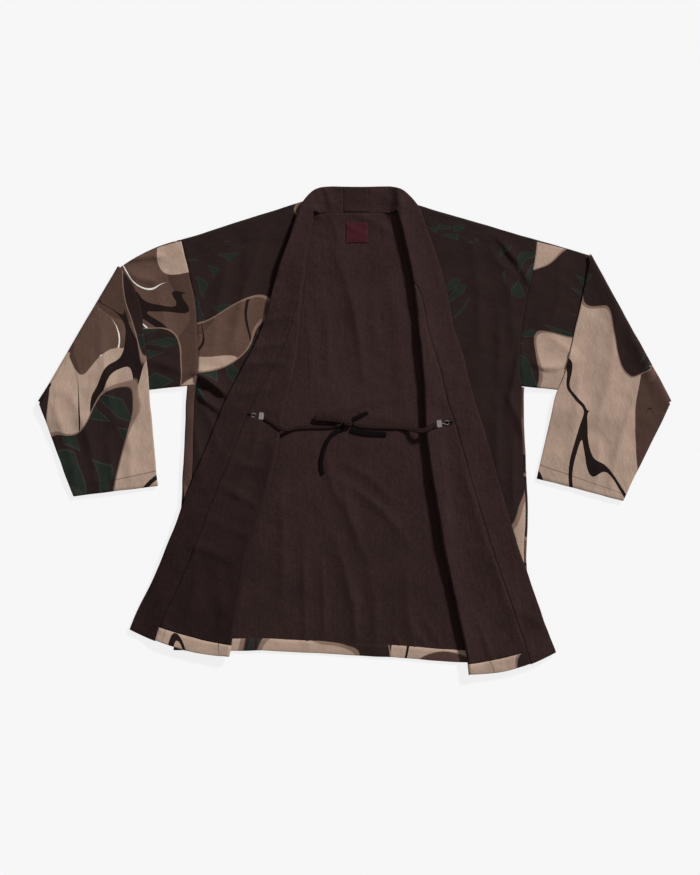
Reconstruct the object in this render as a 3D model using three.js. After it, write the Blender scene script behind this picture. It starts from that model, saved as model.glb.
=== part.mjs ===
// A lined haori jacket laid flat on its back, with both fronts turned open and a tied cord across.
// Millimetres. +X is the wearer's left, +Y runs towards the neck, +Z is up from the surface.
import * as THREE from 'three';

// Cloth walls, and the space between layers and along seams
const SHELL = 1.2;
const LINING = 1;
const BAND = 2.5;
const GAP = 0.3;

// Levels of the layers: the back with its turned hem, then a front with its turned hem
const STACK = 2 * SHELL + GAP;
const FRONT_BASE = STACK + GAP;
const FRONT_TOP = FRONT_BASE + STACK;
const EDGE_RADIUS = FRONT_TOP / 2;

// Soft folds: inner radius, cloth used by half a turn, and how soon the layers close again
const ROLL = 1.6;
const HALF_TURN = Math.PI * (ROLL + STACK / 2);
const ROLL_RELAX = 30;
const TURN_STEPS = 4;

// Cut sizes
const BAND_WIDTH = 43;
const HEM_TURN = 20;
const GUSSET_UNDER = 22;
const HEM_RUN = 40;
const SHOULDER_RUN = 26;
const HEM_SAG = 10;
const COLUMN_STEP = 0.4;

// Where the band's seam leaves the fold, in stations: the band unwraps the fold just above it,
// and the front's own cloth takes over just below it
const SEAM_STATION = 4.5;
const SEAM_STEP = 0.03;

// How cloth that hangs past a layer below settles to the surface
const SIDE_LIP = 14;
const SIDE_FALL = 45;
const HEM_LIP = 8;
const HEM_FALL = 30;

// Stations of each front from the shoulder to the hem: the free edge of the collar band,
// the fold where the front turns back, and the armhole or side seam.
const FRONT_RIGHT = [
  { edge: [-90, 386], fold: [-69.5, 389], side: [-289, 319] },
  { edge: [-90, 378], fold: [-69, 362], side: [-283, 295.5] },
  { edge: [-99, 354], fold: [-71, 345], side: [-279, 279] },
  { edge: [-111, 317], fold: [-76, 310], side: [-273, 252] },
  { edge: [-127, 272], fold: [-83, 260], side: [-265.5, 219] },
  { edge: [-140, 222], fold: [-89, 211], side: [-262, 182.5] },
  { edge: [-154, 173], fold: [-94, 153], side: [-260.5, 144.5] },
  { edge: [-178, 124], fold: [-102, 101], side: [-260.5, 106] },
  { edge: [-203, 78], fold: [-115, 48], side: [-265, 77] },
  { edge: [-224, 32], fold: [-123, 3], side: [-268.5, 11.5] },
  { edge: [-249, -30], fold: [-134.5, -65], side: [-270, -60] },
  { edge: [-277, -96], fold: [-154, -129], side: [-274, -129.5] },
  { edge: [-305, -171], fold: [-177, -196], side: [-279, -196] },
  { edge: [-334, -242], fold: [-190, -270], side: [-283, -262] },
  { edge: [-358, -290], fold: [-202, -334], side: [-287, -322] },
  { edge: [-373.5, -327], fold: [-209, -373.5], side: [-289, -362] },
];
const FRONT_LEFT = [
  { edge: [90, 386], fold: [70, 386.5], side: [302, 319] },
  { edge: [98, 384], fold: [70, 362], side: [300.5, 299] },
  { edge: [109, 367], fold: [74, 345], side: [298.5, 282] },
  { edge: [119.5, 335], fold: [82, 314], side: [292, 252] },
  { edge: [134.5, 297], fold: [91, 275.5], side: [285.5, 222.5] },
  { edge: [151.5, 239], fold: [99.5, 219], side: [279.5, 189] },
  { edge: [163.5, 178.5], fold: [105.5, 157.5], side: [274.5, 151] },
  { edge: [179.5, 126], fold: [111, 101], side: [273, 109.5] },
  { edge: [194, 68], fold: [115, 48], side: [276.5, 74] },
  { edge: [208.5, 23], fold: [116.5, 0], side: [276.5, 11.5] },
  { edge: [228.5, -45], fold: [126, -71.5], side: [280.5, -63] },
  { edge: [246.5, -110], fold: [135.5, -129.5], side: [283, -129.5] },
  { edge: [265.5, -173], fold: [146, -193], side: [280.5, -196] },
  { edge: [293, -254], fold: [164, -274], side: [282, -274] },
  { edge: [319, -327.5], fold: [183, -363.5], side: [284.5, -342] },
  { edge: [333, -365], fold: [188.5, -403.5], side: [285.5, -382] },
];

// Stations of the collar band behind the neck, from its middle to a front: the free edge,
// the neck seam, how far it has risen onto the front, and how far it wraps the front's edge.
const NECK_RIGHT = [
  { edge: [-20, 407], fold: [-20, 364], lift: 0, wrap: 0 },
  { edge: [-41.5, 407], fold: [-41.5, 364], lift: 0, wrap: 0 },
  { edge: [-60, 405], fold: [-58, 363.5], lift: 0.3, wrap: 0 },
  { edge: [-75, 396.5], fold: [-66.5, 365], lift: 1, wrap: 0.6 },
];
const NECK_LEFT = [
  { edge: [22.5, 407], fold: [22.5, 364], lift: 0, wrap: 0 },
  { edge: [45, 407], fold: [42, 364], lift: 0, wrap: 0 },
  { edge: [63, 406.5], fold: [58, 363.5], lift: 0.3, wrap: 0 },
  { edge: [80, 401], fold: [67, 366], lift: 1, wrap: 0.6 },
];

// The outermost edge of the body below each armhole, and the back's hem
const SIDE_EDGE_RIGHT = [[-279, 80], [-282, 11.5], [-285.5, -70], [-289, -130], [-294, -210], [-302, -362]];
const SIDE_EDGE_LEFT = [[280.5, 80], [280.5, 11.5], [285, -70], [287, -130], [284.5, -210], [289.5, -382]];
const BACK_HEM = [
  [-305, -362], [-191, -363.5], [-151, -362], [-51, -368], [48, -373.5], [168, -382], [305, -385],
];
const NECK_SEAM_Y = 364;
const NECK_POINT_X = 69.3;

// Each sleeve: the fold across it, the edges of the part that is turned over, as they run from
// the fold to the cuff, and how far the top edge bows between armhole and fold.
const SLEEVE_RIGHT = {
  foldTop: [-393.5, 275.5],
  foldUnder: [-526, 51.5],
  inner: [[-393.5, 275.5], [-367, 244], [-353.5, 202.5], [-348.5, 144.5], [-342, 70], [-327, -89.5]],
  outer: [[-526, 51.5], [-468, -106]],
  bow: 6,
};
const SLEEVE_LEFT = {
  foldTop: [392, 295.5],
  foldUnder: [526, 51.5],
  inner: [[392, 295.5], [387, 267.5], [377, 219], [362, 154.5], [348.5, 98], [333.5, 64.5], [302, -76.5]],
  outer: [[526, 51.5], [445, -114.5]],
  bow: 0,
};
const FIRST_PART = [0, 0.16, 0.42, 0.72];
const TURNED_PART = [0.1, 0.2, 0.31, 0.42, 0.53, 0.64, 0.78, 1];
const ARMHOLE_STATIONS = 8;
const UNDERARM_Y = { right: 78, left: 76 };
const ARMHOLE_FADE = 1.6;

// How far the tables above stand off the middle of the whole jacket
const TABLE_OFFSET_Y = 1.9;

const OUTER_CLOTH = { color: 0x4a3833, roughness: 0.9, metalness: 0 };
const LINING_CLOTH = { color: 0x332523, roughness: 0.92, metalness: 0 };
const LABEL_CLOTH = { color: 0x5a2432, roughness: 0.8, metalness: 0 };
const CORD_BRAID = { color: 0x1d1514, roughness: 0.85, metalness: 0 };
const NICKEL = { color: 0xc9c8c4, roughness: 0.28, metalness: 1 };

const haori = new THREE.Group();
haori.position.y = -TABLE_OFFSET_Y;

const mix = (a, b, k) => a + (b - a) * k;
const mixPoint = (a, b, k) => a.map((value, axis) => mix(value, b[axis], k));
const clamp = (k) => Math.min(1, Math.max(0, k));
const smooth = (k) => clamp(k) ** 2 * (3 - 2 * clamp(k));
const distance = (a, b) => Math.hypot(a[0] - b[0], a[1] - b[1]);

function unitBetween(from, to) {
  const length = distance(from, to);
  return [(to[0] - from[0]) / length, (to[1] - from[1]) / length];
}

// The point at a fraction of a polyline's length
function along(points, fraction) {
  const lengths = points.slice(1).map((point, i) => distance(points[i], point));
  let left = clamp(fraction) * lengths.reduce((sum, length) => sum + length, 0);
  for (let i = 0; i < lengths.length; i++) {
    if (left <= lengths[i] || i === lengths.length - 1) {
      return mixPoint(points[i], points[i + 1], Math.min(1, left / lengths[i]));
    }
    left -= lengths[i];
  }
  return points[0];
}

// A value read from a table of pairs by one of its two columns, straight between rows
function readTable(rows, column, at) {
  const key = column;
  const value = 1 - column;
  const rising = rows[rows.length - 1][key] > rows[0][key];
  const sorted = rising ? rows : [...rows].reverse();
  let i = sorted.findIndex((row) => row[key] >= at);
  if (i < 0) i = sorted.length - 1;
  i = Math.max(1, i);
  const k = clamp((at - sorted[i - 1][key]) / (sorted[i][key] - sorted[i - 1][key]));
  return mix(sorted[i - 1][value], sorted[i][value], k);
}

const backHemY = (x) => readTable(BACK_HEM, 0, x);

// Closed meshes from a grid: pointAt(row, column, face) gives a wall's outer and inner points
function wallGeometry(rows, columns, pointAt, closedColumns = false) {
  const positions = [];
  const index = [];
  const vertex = (face, i, j) => (face * rows + i) * columns + (j % columns);
  for (const face of [0, 1]) {
    for (let i = 0; i < rows; i++) {
      for (let j = 0; j < columns; j++) positions.push(...pointAt(i, j, face));
    }
  }
  const quad = (a, b, c, d) => index.push(a, b, c, a, c, d);
  const columnQuads = closedColumns ? columns : columns - 1;
  for (let i = 0; i < rows - 1; i++) {
    for (let j = 0; j < columnQuads; j++) {
      quad(vertex(0, i, j), vertex(0, i, j + 1), vertex(0, i + 1, j + 1), vertex(0, i + 1, j));
      quad(vertex(1, i, j), vertex(1, i + 1, j), vertex(1, i + 1, j + 1), vertex(1, i, j + 1));
    }
  }
  for (let j = 0; j < columnQuads; j++) {
    quad(vertex(0, 0, j), vertex(1, 0, j), vertex(1, 0, j + 1), vertex(0, 0, j + 1));
    const end = rows - 1;
    quad(vertex(0, end, j), vertex(0, end, j + 1), vertex(1, end, j + 1), vertex(1, end, j));
  }
  if (!closedColumns) {
    const side = columns - 1;
    for (let i = 0; i < rows - 1; i++) {
      quad(vertex(0, i, 0), vertex(0, i + 1, 0), vertex(1, i + 1, 0), vertex(1, i, 0));
      quad(vertex(0, i, side), vertex(1, i, side), vertex(1, i + 1, side), vertex(0, i + 1, side));
    }
  }
  return facingOut(positions, index);
}

// Turns every face round where the enclosed volume comes out negative
function facingOut(positions, index) {
  const point = (i) => new THREE.Vector3(...positions.slice(3 * i, 3 * i + 3));
  let volume = 0;
  for (let i = 0; i < index.length; i += 3) {
    volume += point(index[i]).dot(point(index[i + 1]).cross(point(index[i + 2])));
  }
  if (volume < 0) {
    for (let i = 0; i < index.length; i += 3) [index[i + 1], index[i + 2]] = [index[i + 2], index[i + 1]];
  }
  const geometry = new THREE.BufferGeometry();
  geometry.setAttribute('position', new THREE.Float32BufferAttribute(positions, 3));
  geometry.setIndex(index);
  return geometry;
}

function addPiece(name, geometry, finish) {
  const mesh = new THREE.Mesh(geometry, new THREE.MeshStandardMaterial(finish));
  mesh.name = name;
  haori.add(mesh);
  return mesh;
}

// One side of the jacket as the functions below need it
const SIDES = [
  {
    name: 'right',
    sign: -1,
    front: FRONT_RIGHT,
    neck: NECK_RIGHT,
    edge: SIDE_EDGE_RIGHT,
    sleeve: SLEEVE_RIGHT,
  },
  {
    name: 'left',
    sign: 1,
    front: FRONT_LEFT,
    neck: NECK_LEFT,
    edge: SIDE_EDGE_LEFT,
    sleeve: SLEEVE_LEFT,
  },
];

function stationAt(rows, v) {
  const i = Math.min(rows.length - 2, Math.max(0, Math.floor(v)));
  const k = v - i;
  const [a, b] = [rows[i], rows[i + 1]];
  const station = { lift: mix(a.lift ?? 1, b.lift ?? 1, k), wrap: mix(a.wrap ?? 1, b.wrap ?? 1, k) };
  station.edge = mixPoint(a.edge, b.edge, k);
  station.fold = mixPoint(a.fold, b.fold, k);
  station.side = a.side && b.side ? mixPoint(a.side, b.side, k) : station.edge;
  station.sag = clamp(v - (rows.length - 2));
  const reach = (ROLL + STACK) * Math.sin(Math.PI * Math.min(station.wrap, 0.5));
  station.up = unitBetween(station.edge, station.fold);
  station.low = unitBetween(station.side, station.fold);
  station.reach = reach;
  station.edgeRun = distance(station.edge, station.fold) - reach;
  station.sideRun = distance(station.side, station.fold) - reach;
  station.flapSeam = HALF_TURN + Math.max(2 * COLUMN_STEP, station.edgeRun - BAND_WIDTH);
  return station;
}

// Height of what a front lies on: the back inside its hem, and the surface past it
const baseAt = (x, y) => FRONT_BASE * (1 - smooth((backHemY(x) - HEM_LIP - y) / HEM_FALL));

// Height of what a turned-back front lies on, which falls away past the body's side
function restAt(side, x, y, opening) {
  const past = side.sign * (x - readTable(side.edge, 1, y)) - SIDE_LIP;
  return (baseAt(x, y) + STACK + opening) * (1 - smooth(past / SIDE_FALL));
}

// A point of a front: t is the cloth's distance past the start of the fold, and h its height in
// the flat stack, where the turned hem is lowest and the outer cloth highest.
function frontPoint(side, station, t, h) {
  const turn = clamp(t / HALF_TURN);
  const dir = unitBetween([0, 0], mixPoint(station.low, station.up, turn));
  const centre = [station.fold[0] - dir[0] * station.reach, station.fold[1] - dir[1] * station.reach];
  const radius = ROLL + STACK - h;
  const past = Math.max(0, t - HALF_TURN);
  const out = t < 0 ? t : radius * Math.sin(Math.PI * turn) - past;
  const across = clamp(past / station.edgeRun);
  const x = centre[0] + dir[0] * out;
  const y = centre[1] + dir[1] * out - station.sag * HEM_SAG * 4 * across * (1 - across);
  if (t < 0) return [x, y, baseAt(x, y) + h];
  if (past > 0 || station.wrap === 0) {
    const opening = mix(2 * ROLL, GAP, smooth(past / ROLL_RELAX));
    return [x, y, restAt(side, x, y, opening) * station.lift + STACK - h];
  }
  const rollBase = restAt(side, x, y, 0) * station.lift;
  return [x, y, rollBase + ROLL - radius * Math.cos(Math.PI * turn)];
}

// Columns across a front at station v, each kept a little apart where the seam is at the fold
function frontColumns(station, v, sideInset) {
  const end = v > SEAM_STATION ? station.flapSeam : 0;
  const lower = [1, 0.72, 0.4, 0.1].map((f) => -(station.sideRun - sideInset) * f);
  const roll = [0, 0.25, 0.5, 0.75, 1].map((f) => f * HALF_TURN);
  const upper = [12, ROLL_RELAX].map((s) => HALF_TURN + s);
  const rest = [0.34, 0.67, 1].map((f) => mix(HALF_TURN + ROLL_RELAX, end, f));
  const all = [...lower, ...roll, ...upper, ...rest];
  return all.map((t, k) => Math.min(t, end - (all.length - 1 - k) * COLUMN_STEP));
}

// Outer and inner points of half a turn of a wall, as offsets from its centre
function halfTurn(radius, steps) {
  return Array.from({ length: steps + 1 }, (_, k) => {
    const angle = Math.PI * (k / steps - 0.5);
    return [radius, radius - SHELL].map((r) => ({ out: r * Math.cos(angle), up: r * Math.sin(angle) }));
  });
}

// Stations that the outer cloth and the lining of a front share
function mainStations(last) {
  const whole = Array.from({ length: last - 1 }, (_, k) => k + 1);
  const turned = last - (HEM_TURN + GAP) / HEM_RUN;
  return [...whole, SEAM_STATION, SEAM_STATION + SEAM_STEP, turned].sort((a, b) => a - b);
}

// Rows of a front's outer cloth: round the shoulder, down the front, and up inside the hem
function frontShellRows(front) {
  const last = front.length - 1;
  const rows = halfTurn(EDGE_RADIUS, TURN_STEPS).map((pair) =>
    pair.map(({ out, up }) => ({ v: (EDGE_RADIUS - out) / SHOULDER_RUN, h: STACK - EDGE_RADIUS + up })));
  for (const v of mainStations(last)) rows.push([{ v, h: STACK }, { v, h: STACK - SHELL }]);
  for (const pair of halfTurn(STACK / 2, TURN_STEPS - 1).reverse()) {
    rows.push(pair.map(({ out, up }) => ({ v: last - (STACK / 2 - out) / HEM_RUN, h: STACK / 2 + up })));
  }
  const turned = last - HEM_TURN / HEM_RUN;
  rows.push([{ v: turned, h: 0 }, { v: turned, h: SHELL }]);
  return rows;
}

function addFrontShell(side) {
  const rows = frontShellRows(side.front);
  const columns = frontColumns(stationAt(side.front, 0), 0, GAP).length;
  const geometry = wallGeometry(rows.length, columns, (i, j, face) => {
    const { v, h } = rows[i][face];
    const station = stationAt(side.front, v);
    return frontPoint(side, station, frontColumns(station, v, GAP)[j], h);
  });
  addPiece(`front_shell_${side.name}`, geometry, OUTER_CLOTH);
}

function addFrontLining(side) {
  const last = side.front.length - 1;
  const top = (EDGE_RADIUS + SHELL + GAP) / SHOULDER_RUN;
  const rows = [top, ...mainStations(last)];
  const base = SHELL - LINING;
  const inset = 2 * SHELL;
  const columns = frontColumns(stationAt(side.front, 0), 0, inset).length;
  const geometry = wallGeometry(rows.length, columns, (i, j, face) => {
    const station = stationAt(side.front, rows[i]);
    return frontPoint(side, station, frontColumns(station, rows[i], inset)[j], base + face * LINING);
  });
  addPiece(`front_lining_${side.name}`, geometry, LINING_CLOTH);
}

// The rounded free edge of the collar band, as insets from its two faces
const BAND_ROUND = (end) => [{ t: end - 0.35, inset: 0.45 }, { t: end, inset: 0.95 }];

// Half of the collar band, from the middle of the neck round to the front's hem
function addCollarBand(side) {
  const stations = [...side.neck, ...side.front.slice(1)];
  const offset = side.neck.length - 1;
  const unwrap = SEAM_STATION + offset - 2 * SEAM_STEP;
  const rows = [...stations.keys(), unwrap, unwrap + SEAM_STEP].sort((a, b) => a - b);
  const low = (STACK - BAND) / 2;
  const columnsOf = (station, v) => {
    const start = GAP + (v > unwrap ? station.flapSeam : HALF_TURN * (1 - station.wrap));
    const end = HALF_TURN + station.edgeRun;
    const roll = [0, 0.25, 0.5, 0.75, 1].map((f, k) => Math.max(start + k * COLUMN_STEP, f * HALF_TURN));
    const flat = [0.25, 0.6, 0.95].map((f) => mix(roll[roll.length - 1], end, f));
    return [...[...roll, ...flat].map((t) => ({ t, inset: 0 })), ...BAND_ROUND(end)];
  };
  const columns = columnsOf(stationAt(stations, 0), 0).length;
  const geometry = wallGeometry(rows.length, columns, (i, j, face) => {
    const station = stationAt(stations, rows[i]);
    const { t, inset } = columnsOf(station, rows[i])[j];
    return frontPoint(side, station, t, face ? low + BAND - inset : low + inset);
  });
  addPiece(`collar_band_${side.name}`, geometry, LINING_CLOTH);
}

// The short length of band behind the neck, between the two long ones
function addNeckBand() {
  const [right, left] = [NECK_RIGHT[0], NECK_LEFT[0]];
  const low = (STACK - BAND) / 2;
  const rows = [right.fold[1] + GAP, mix(right.fold[1], right.edge[1], 0.95), right.edge[1]];
  const insets = [0, 0, 0.8];
  const geometry = wallGeometry(rows.length, 3, (i, j, face) => {
    const x = mix(right.edge[0] + GAP, left.edge[0] - GAP, j / 2);
    return [x, rows[i], face ? low + insets[i] : low + BAND - insets[i]];
  });
  addPiece('collar_band_neck', geometry, LINING_CLOTH);
}

// Outline of the back, as pairs of points on its two side edges from the armholes to the hem
function backEdges(inset) {
  const armhole = (side) => side.front.slice(0, ARMHOLE_STATIONS).map((station) => station.side);
  const [right, left] = SIDES.map((side) => [
    ...armhole(side),
    [side.front[ARMHOLE_STATIONS].side[0] - side.sign * 1, UNDERARM_Y[side.name] + 3],
    ...side.front.slice(ARMHOLE_STATIONS).map(({ side: [, y] }) =>
      [readTable(side.edge, 1, y) - side.sign * (GUSSET_UNDER + GAP), y]),
  ]);
  return right.map((point, i) => [[point[0] + inset, point[1]], [left[i][0] - inset, left[i][1]]]);
}

// Height of the back's top edge, which runs along both shoulders and dips at the neck
function backTop(x, drop) {
  if (Math.abs(x) < NECK_POINT_X) return NECK_SEAM_Y - GAP;
  const side = x < 0 ? SIDES[0] : SIDES[1];
  const [tip, neck] = [side.front[0].side, side.front[0].fold];
  return mix(tip[1], neck[1], (x - tip[0]) / (neck[0] - tip[0])) - drop;
}

// Stations across the back: the shoulders, and close pairs at the corners of the neck
function backColumns(edges) {
  const [right, left] = edges[0];
  const neckStep = 0.6;
  const corner = (x) => [x - neckStep, x + neckStep];
  const inside = [...corner(-NECK_POINT_X), 0, ...corner(NECK_POINT_X)];
  const fractions = inside.map((x) => (x - right[0]) / (left[0] - right[0]));
  return [0, 0.13, 0.26, ...fractions, 0.74, 0.87, 1];
}

// A point of the back in plan; its top row lies topDrop below the shoulder's edge
function backPoint(edges, u, row, topDrop) {
  const start = edges[0].map((point, i) => {
    const next = edges[1][i];
    return mixPoint(point, next, topDrop / (point[1] - next[1]));
  });
  const top = mixPoint(...start, u);
  if (row === 0) return [top[0], backTop(top[0], topDrop)];
  const [x, y] = mixPoint(...edges[row], u);
  const fade = clamp(1 - row / ARMHOLE_STATIONS);
  return [x, y + (backTop(top[0], topDrop) - top[1]) * fade];
}

function addBackShell() {
  const edges = backEdges(GAP);
  const columns = backColumns(edges);
  const last = edges.length - 1;
  const rows = edges.slice(0, last).map((_, row) => [{ row, z: 0 }, { row, z: SHELL }]);
  for (const pair of halfTurn(STACK / 2, TURN_STEPS - 1)) {
    rows.push(pair.map(({ out, up }) => ({ hem: STACK / 2 - out, z: STACK / 2 + up })));
  }
  rows.push([{ hem: HEM_TURN, z: STACK }, { hem: HEM_TURN, z: STACK - SHELL }]);
  const geometry = wallGeometry(rows.length, columns.length, (i, j, face) => {
    const { row, hem, z } = rows[i][face];
    if (hem === undefined) return [...backPoint(edges, columns[j], row, EDGE_RADIUS + GAP), z];
    const [x] = mixPoint(...edges[last], columns[j]);
    return [x, backHemY(x) + hem, z];
  });
  addPiece('back_shell', geometry, OUTER_CLOTH);
}

function addBackLining() {
  const edges = backEdges(SHELL);
  const columns = backColumns(edges);
  const base = SHELL + GAP;
  const last = edges.length - 1;
  const geometry = wallGeometry(edges.length, columns.length, (i, j, face) => {
    const z = base + face * LINING;
    if (i < last) return [...backPoint(edges, columns[j], i, EDGE_RADIUS + SHELL + GAP), z];
    const [x] = mixPoint(...edges[last], columns[j]);
    return [x, backHemY(x) + HEM_TURN + GAP, z];
  });
  addPiece('back_lining', geometry, LINING_CLOTH);
}

// The narrow strip let in between front and back, bent round the body's side
function addGusset(side) {
  const stations = side.front.slice(ARMHOLE_STATIONS);
  const turn = halfTurn(EDGE_RADIUS, TURN_STEPS).reverse();
  const geometry = wallGeometry(stations.length, turn.length + 2, (i, j, face) => {
    const [seam, y] = stations[i].side;
    const edge = readTable(side.edge, 1, y);
    const centre = edge - side.sign * EDGE_RADIUS;
    if (j === 0) return [seam, y, face ? FRONT_TOP - SHELL : FRONT_TOP];
    if (j === turn.length + 1) return [edge - side.sign * GUSSET_UNDER, y, face ? SHELL : 0];
    const { out, up } = turn[j - 1][face];
    return [centre + side.sign * out, y, EDGE_RADIUS + up];
  });
  addPiece(`gusset_${side.name}`, geometry, OUTER_CLOTH);
}

// One row of a sleeve: where it runs from the top edge to the underarm, and its flat height
function sleeveRows(side) {
  const { foldTop, foldUnder, inner, outer, bow } = side.sleeve;
  const armhole = side.front.slice(0, ARMHOLE_STATIONS).map((station) => station.side);
  armhole.push([side.front[ARMHOLE_STATIONS].side[0], UNDERARM_Y[side.name]]);
  const total = armhole.slice(1).reduce((sum, point, i) => sum + distance(armhole[i], point), 0);
  let run = 0;
  const fractions = armhole.map((point, i) => {
    run += i ? distance(armhole[i - 1], point) : 0;
    return run / total;
  });
  const foldNormal = [side.sign * (foldTop[1] - foldUnder[1]), side.sign * (foldUnder[0] - foldTop[0])];
  const out = unitBetween([0, 0], foldNormal);
  const reach = ROLL + STACK;
  const centre = [foldTop, foldUnder].map((point) => [point[0] - out[0] * reach, point[1] - out[1] * reach]);
  const rows = FIRST_PART.map((k) => ({
    line: (f) => {
      const [x, y] = mixPoint(along(armhole, f), mixPoint(...centre, f), k);
      return [x + (k === 0 ? side.sign * GAP : 0), y + bow * 4 * k * (1 - k) * (1 - f)];
    },
    height: mix(FRONT_TOP, STACK, smooth(k * ARMHOLE_FADE)),
    turn: -1,
  }));
  for (let k = 0; k <= TURN_STEPS; k++) {
    rows.push({ line: (f) => mixPoint(...centre, f), height: STACK, turn: k / TURN_STEPS });
  }
  for (const k of TURNED_PART) {
    const ends = [along(inner, k), along(outer, k)];
    const past = k * distance(outer[0], outer[1]);
    rows.push({ line: (f) => mixPoint(...ends, f), height: STACK, turn: 2, past });
  }
  return { rows, fractions, out };
}

// Height of what the turned-over part of a sleeve lies on
function sleeveRest(side, x, y) {
  const { foldUnder } = side.sleeve;
  const underarm = side.front[ARMHOLE_STATIONS].side;
  const k = clamp((x - underarm[0]) / (foldUnder[0] - underarm[0]));
  const edgeY = mix(UNDERARM_Y[side.name], foldUnder[1], k);
  return STACK * (1 - smooth((edgeY - y - 2 * SIDE_LIP) / SIDE_FALL));
}

function addSleeve(side) {
  const { rows, fractions, out } = sleeveRows(side);
  const bends = [-0.3, 0.3];
  const flat = fractions.length;
  const ringLength = 2 * (flat + bends.length);
  const geometry = wallGeometry(rows.length, ringLength, (i, j, face) => {
    const { line, height, turn, past } = rows[i];
    const half = height / 2;
    const radius = half - face * SHELL;
    const upper = j < flat;
    const atBend = j >= flat && j < flat + bends.length;
    const length = distance(line(0), line(1));
    const inset = (f) => mix(half, length - half, f) / length;
    let f = inset(upper ? fractions[j] : fractions[2 * flat + bends.length - 1 - j] ?? 0);
    let h = half + (upper ? radius : -radius);
    if (atBend || j >= 2 * flat + bends.length) {
      const angle = Math.PI * (atBend ? -bends[j - flat] : bends[j - 2 * flat - bends.length]);
      const swing = radius * Math.cos(angle);
      f = (atBend ? length - half + swing : half - swing) / length;
      h = half + radius * Math.sin(angle);
    }
    const [x, y] = line(f);
    if (turn < 0) return [x, y, h];
    const lift = ROLL + STACK - h;
    if (turn <= 1) {
      const reach = lift * Math.sin(Math.PI * turn);
      return [x + out[0] * reach, y + out[1] * reach, STACK + ROLL - lift * Math.cos(Math.PI * turn)];
    }
    const opening = mix(2 * ROLL, GAP, smooth(past / ROLL_RELAX));
    const rest = sleeveRest(side, x, y);
    return [x, y, rest + opening * (rest / STACK) + STACK - h];
  }, true);
  addPiece(`sleeve_${side.name}`, geometry, OUTER_CLOTH);
}

// A flat plate, centred, from the points of one quarter of its outline
function plate(quarter, depth) {
  const outline = new THREE.Shape();
  const turned = [...quarter].reverse();
  const points = [
    ...quarter,
    ...turned.map(([x, y]) => [-x, y]),
    ...quarter.map(([x, y]) => [-x, -y]),
    ...turned.map(([x, y]) => [x, -y]),
  ];
  points.forEach(([x, y], k) => (k ? outline.lineTo(x, y) : outline.moveTo(x, y)));
  outline.closePath();
  return new THREE.ExtrudeGeometry(outline, { depth, bevelEnabled: false });
}

// The woven label below the neck
const LABEL = { width: 36, height: 33, corner: 1.2, at: [3, 331] };

function addLabel() {
  const [x, y, round] = [LABEL.width / 2, LABEL.height / 2, LABEL.corner];
  const quarter = [[x, y - round], [x - round * 0.3, y - round * 0.3], [x - round, y]];
  const label = addPiece('label', plate(quarter, LINING), LABEL_CLOTH);
  label.position.set(...LABEL.at, SHELL + LINING + 2 * GAP);
}

// Cords and wire
const TAPE = { width: 8, thick: 3.4 };
const NARROW_TAPE = { width: 7, thick: 3.4 };
const WIDE_TAPE = { width: 9, thick: 3 };
const BOW_TAPE = { width: 9, thick: 2.4 };
const STUB_TAPE = { width: 6, thick: 2.6 };
const WIRE = { width: 1.8, thick: 1.8 };
const LOOP_CORD = { width: 2, thick: 1.6 };
const LYING = SHELL + LINING + 2 * GAP + TAPE.thick / 2;
const ON_FLAP = FRONT_TOP + GAP + STACK + GAP;

// An oval section swept along a smooth route; its thin way starts upright
function sweepOval(route, section, steps, sides = 8) {
  const outline = new THREE.Shape();
  const grow = 1 / Math.cos(Math.PI / sides) ** 0.5;
  const [thick, width] = [(section.thick / 2) * grow, (section.width / 2) * grow];
  for (let k = 0; k < sides; k++) {
    const angle = (2 * Math.PI * (k + 0.5)) / sides;
    const [x, y] = [Math.cos(angle) * thick, Math.sin(angle) * width];
    if (k === 0) outline.moveTo(x, y);
    else outline.lineTo(x, y);
  }
  outline.closePath();
  const points = route.map((point) => new THREE.Vector3(...point));
  const curve = new THREE.CatmullRomCurve3(points, false, 'centripetal');
  const geometry = new THREE.ExtrudeGeometry(outline, { steps, extrudePath: curve, bevelEnabled: false });
  geometry.deleteAttribute('normal');
  geometry.deleteAttribute('uv');
  return geometry;
}

// Routes of the tied cord, hand laid: down off each turned front, along the lining, to the knot
const TIE_RIGHT = [
  [-150, 25, 11.2], [-144.5, 21.5, 11.4], [-138, 17.5, 12], [-132, 12.5, 13], [-126, 8, 13.9],
  [-119, 5.5, 12.6], [-112, 5.5, 9.4], [-104, 7, 6.6], [-94, 8, LYING + 0.5], [-80, 8.4, LYING],
  [-60, 9, LYING], [-42, 9.5, LYING], [-31, 11.5, LYING], [-21.5, 14, LYING + 1],
];
const TIE_LEFT = [
  [-3, 14, LYING + 1.2], [8, 11, LYING + 0.2], [24, 9.3, LYING], [42, 8.6, LYING], [60, 8.3, LYING],
  [76, 7.5, LYING + 0.2], [88, 5.5, LYING + 2], [98, 3, 9.4], [107, 2, 12.6], [116, 3, 13.9],
  [124, 7.5, 14], [130, 10.5, 13.6], [135, 12.4, 13.2],
];
const TAIL_RIGHT = [
  [-18.5, 6.5, LYING + 1.2], [-23, 4.5, LYING + 0.2], [-30, 1, LYING], [-38, -5, LYING],
  [-45, -14, LYING], [-50, -25, LYING], [-54, -37, LYING], [-56, -50, LYING], [-55, -62, LYING],
  [-52, -70, LYING],
];
const TAIL_LEFT = [
  [-6.5, 5, LYING + 1], [0, 2.2, LYING + 0.4], [8, 0.2, LYING], [18, -1.8, LYING], [30, -3, LYING],
  [42, -3.8, LYING], [52, -4, LYING],
];
const BOW_LOOP = [
  [-22, 18.5, 8.2], [-30, 20.5, 6.4], [-42, 22, 4.9], [-56, 23, 4.9], [-65, 23.4, 6.2],
  [-67.5, 23.4, 8.6], [-63, 23.2, 11], [-50, 22.4, 12], [-36, 21, 12.6], [-24, 19.2, 12.8],
];
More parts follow.
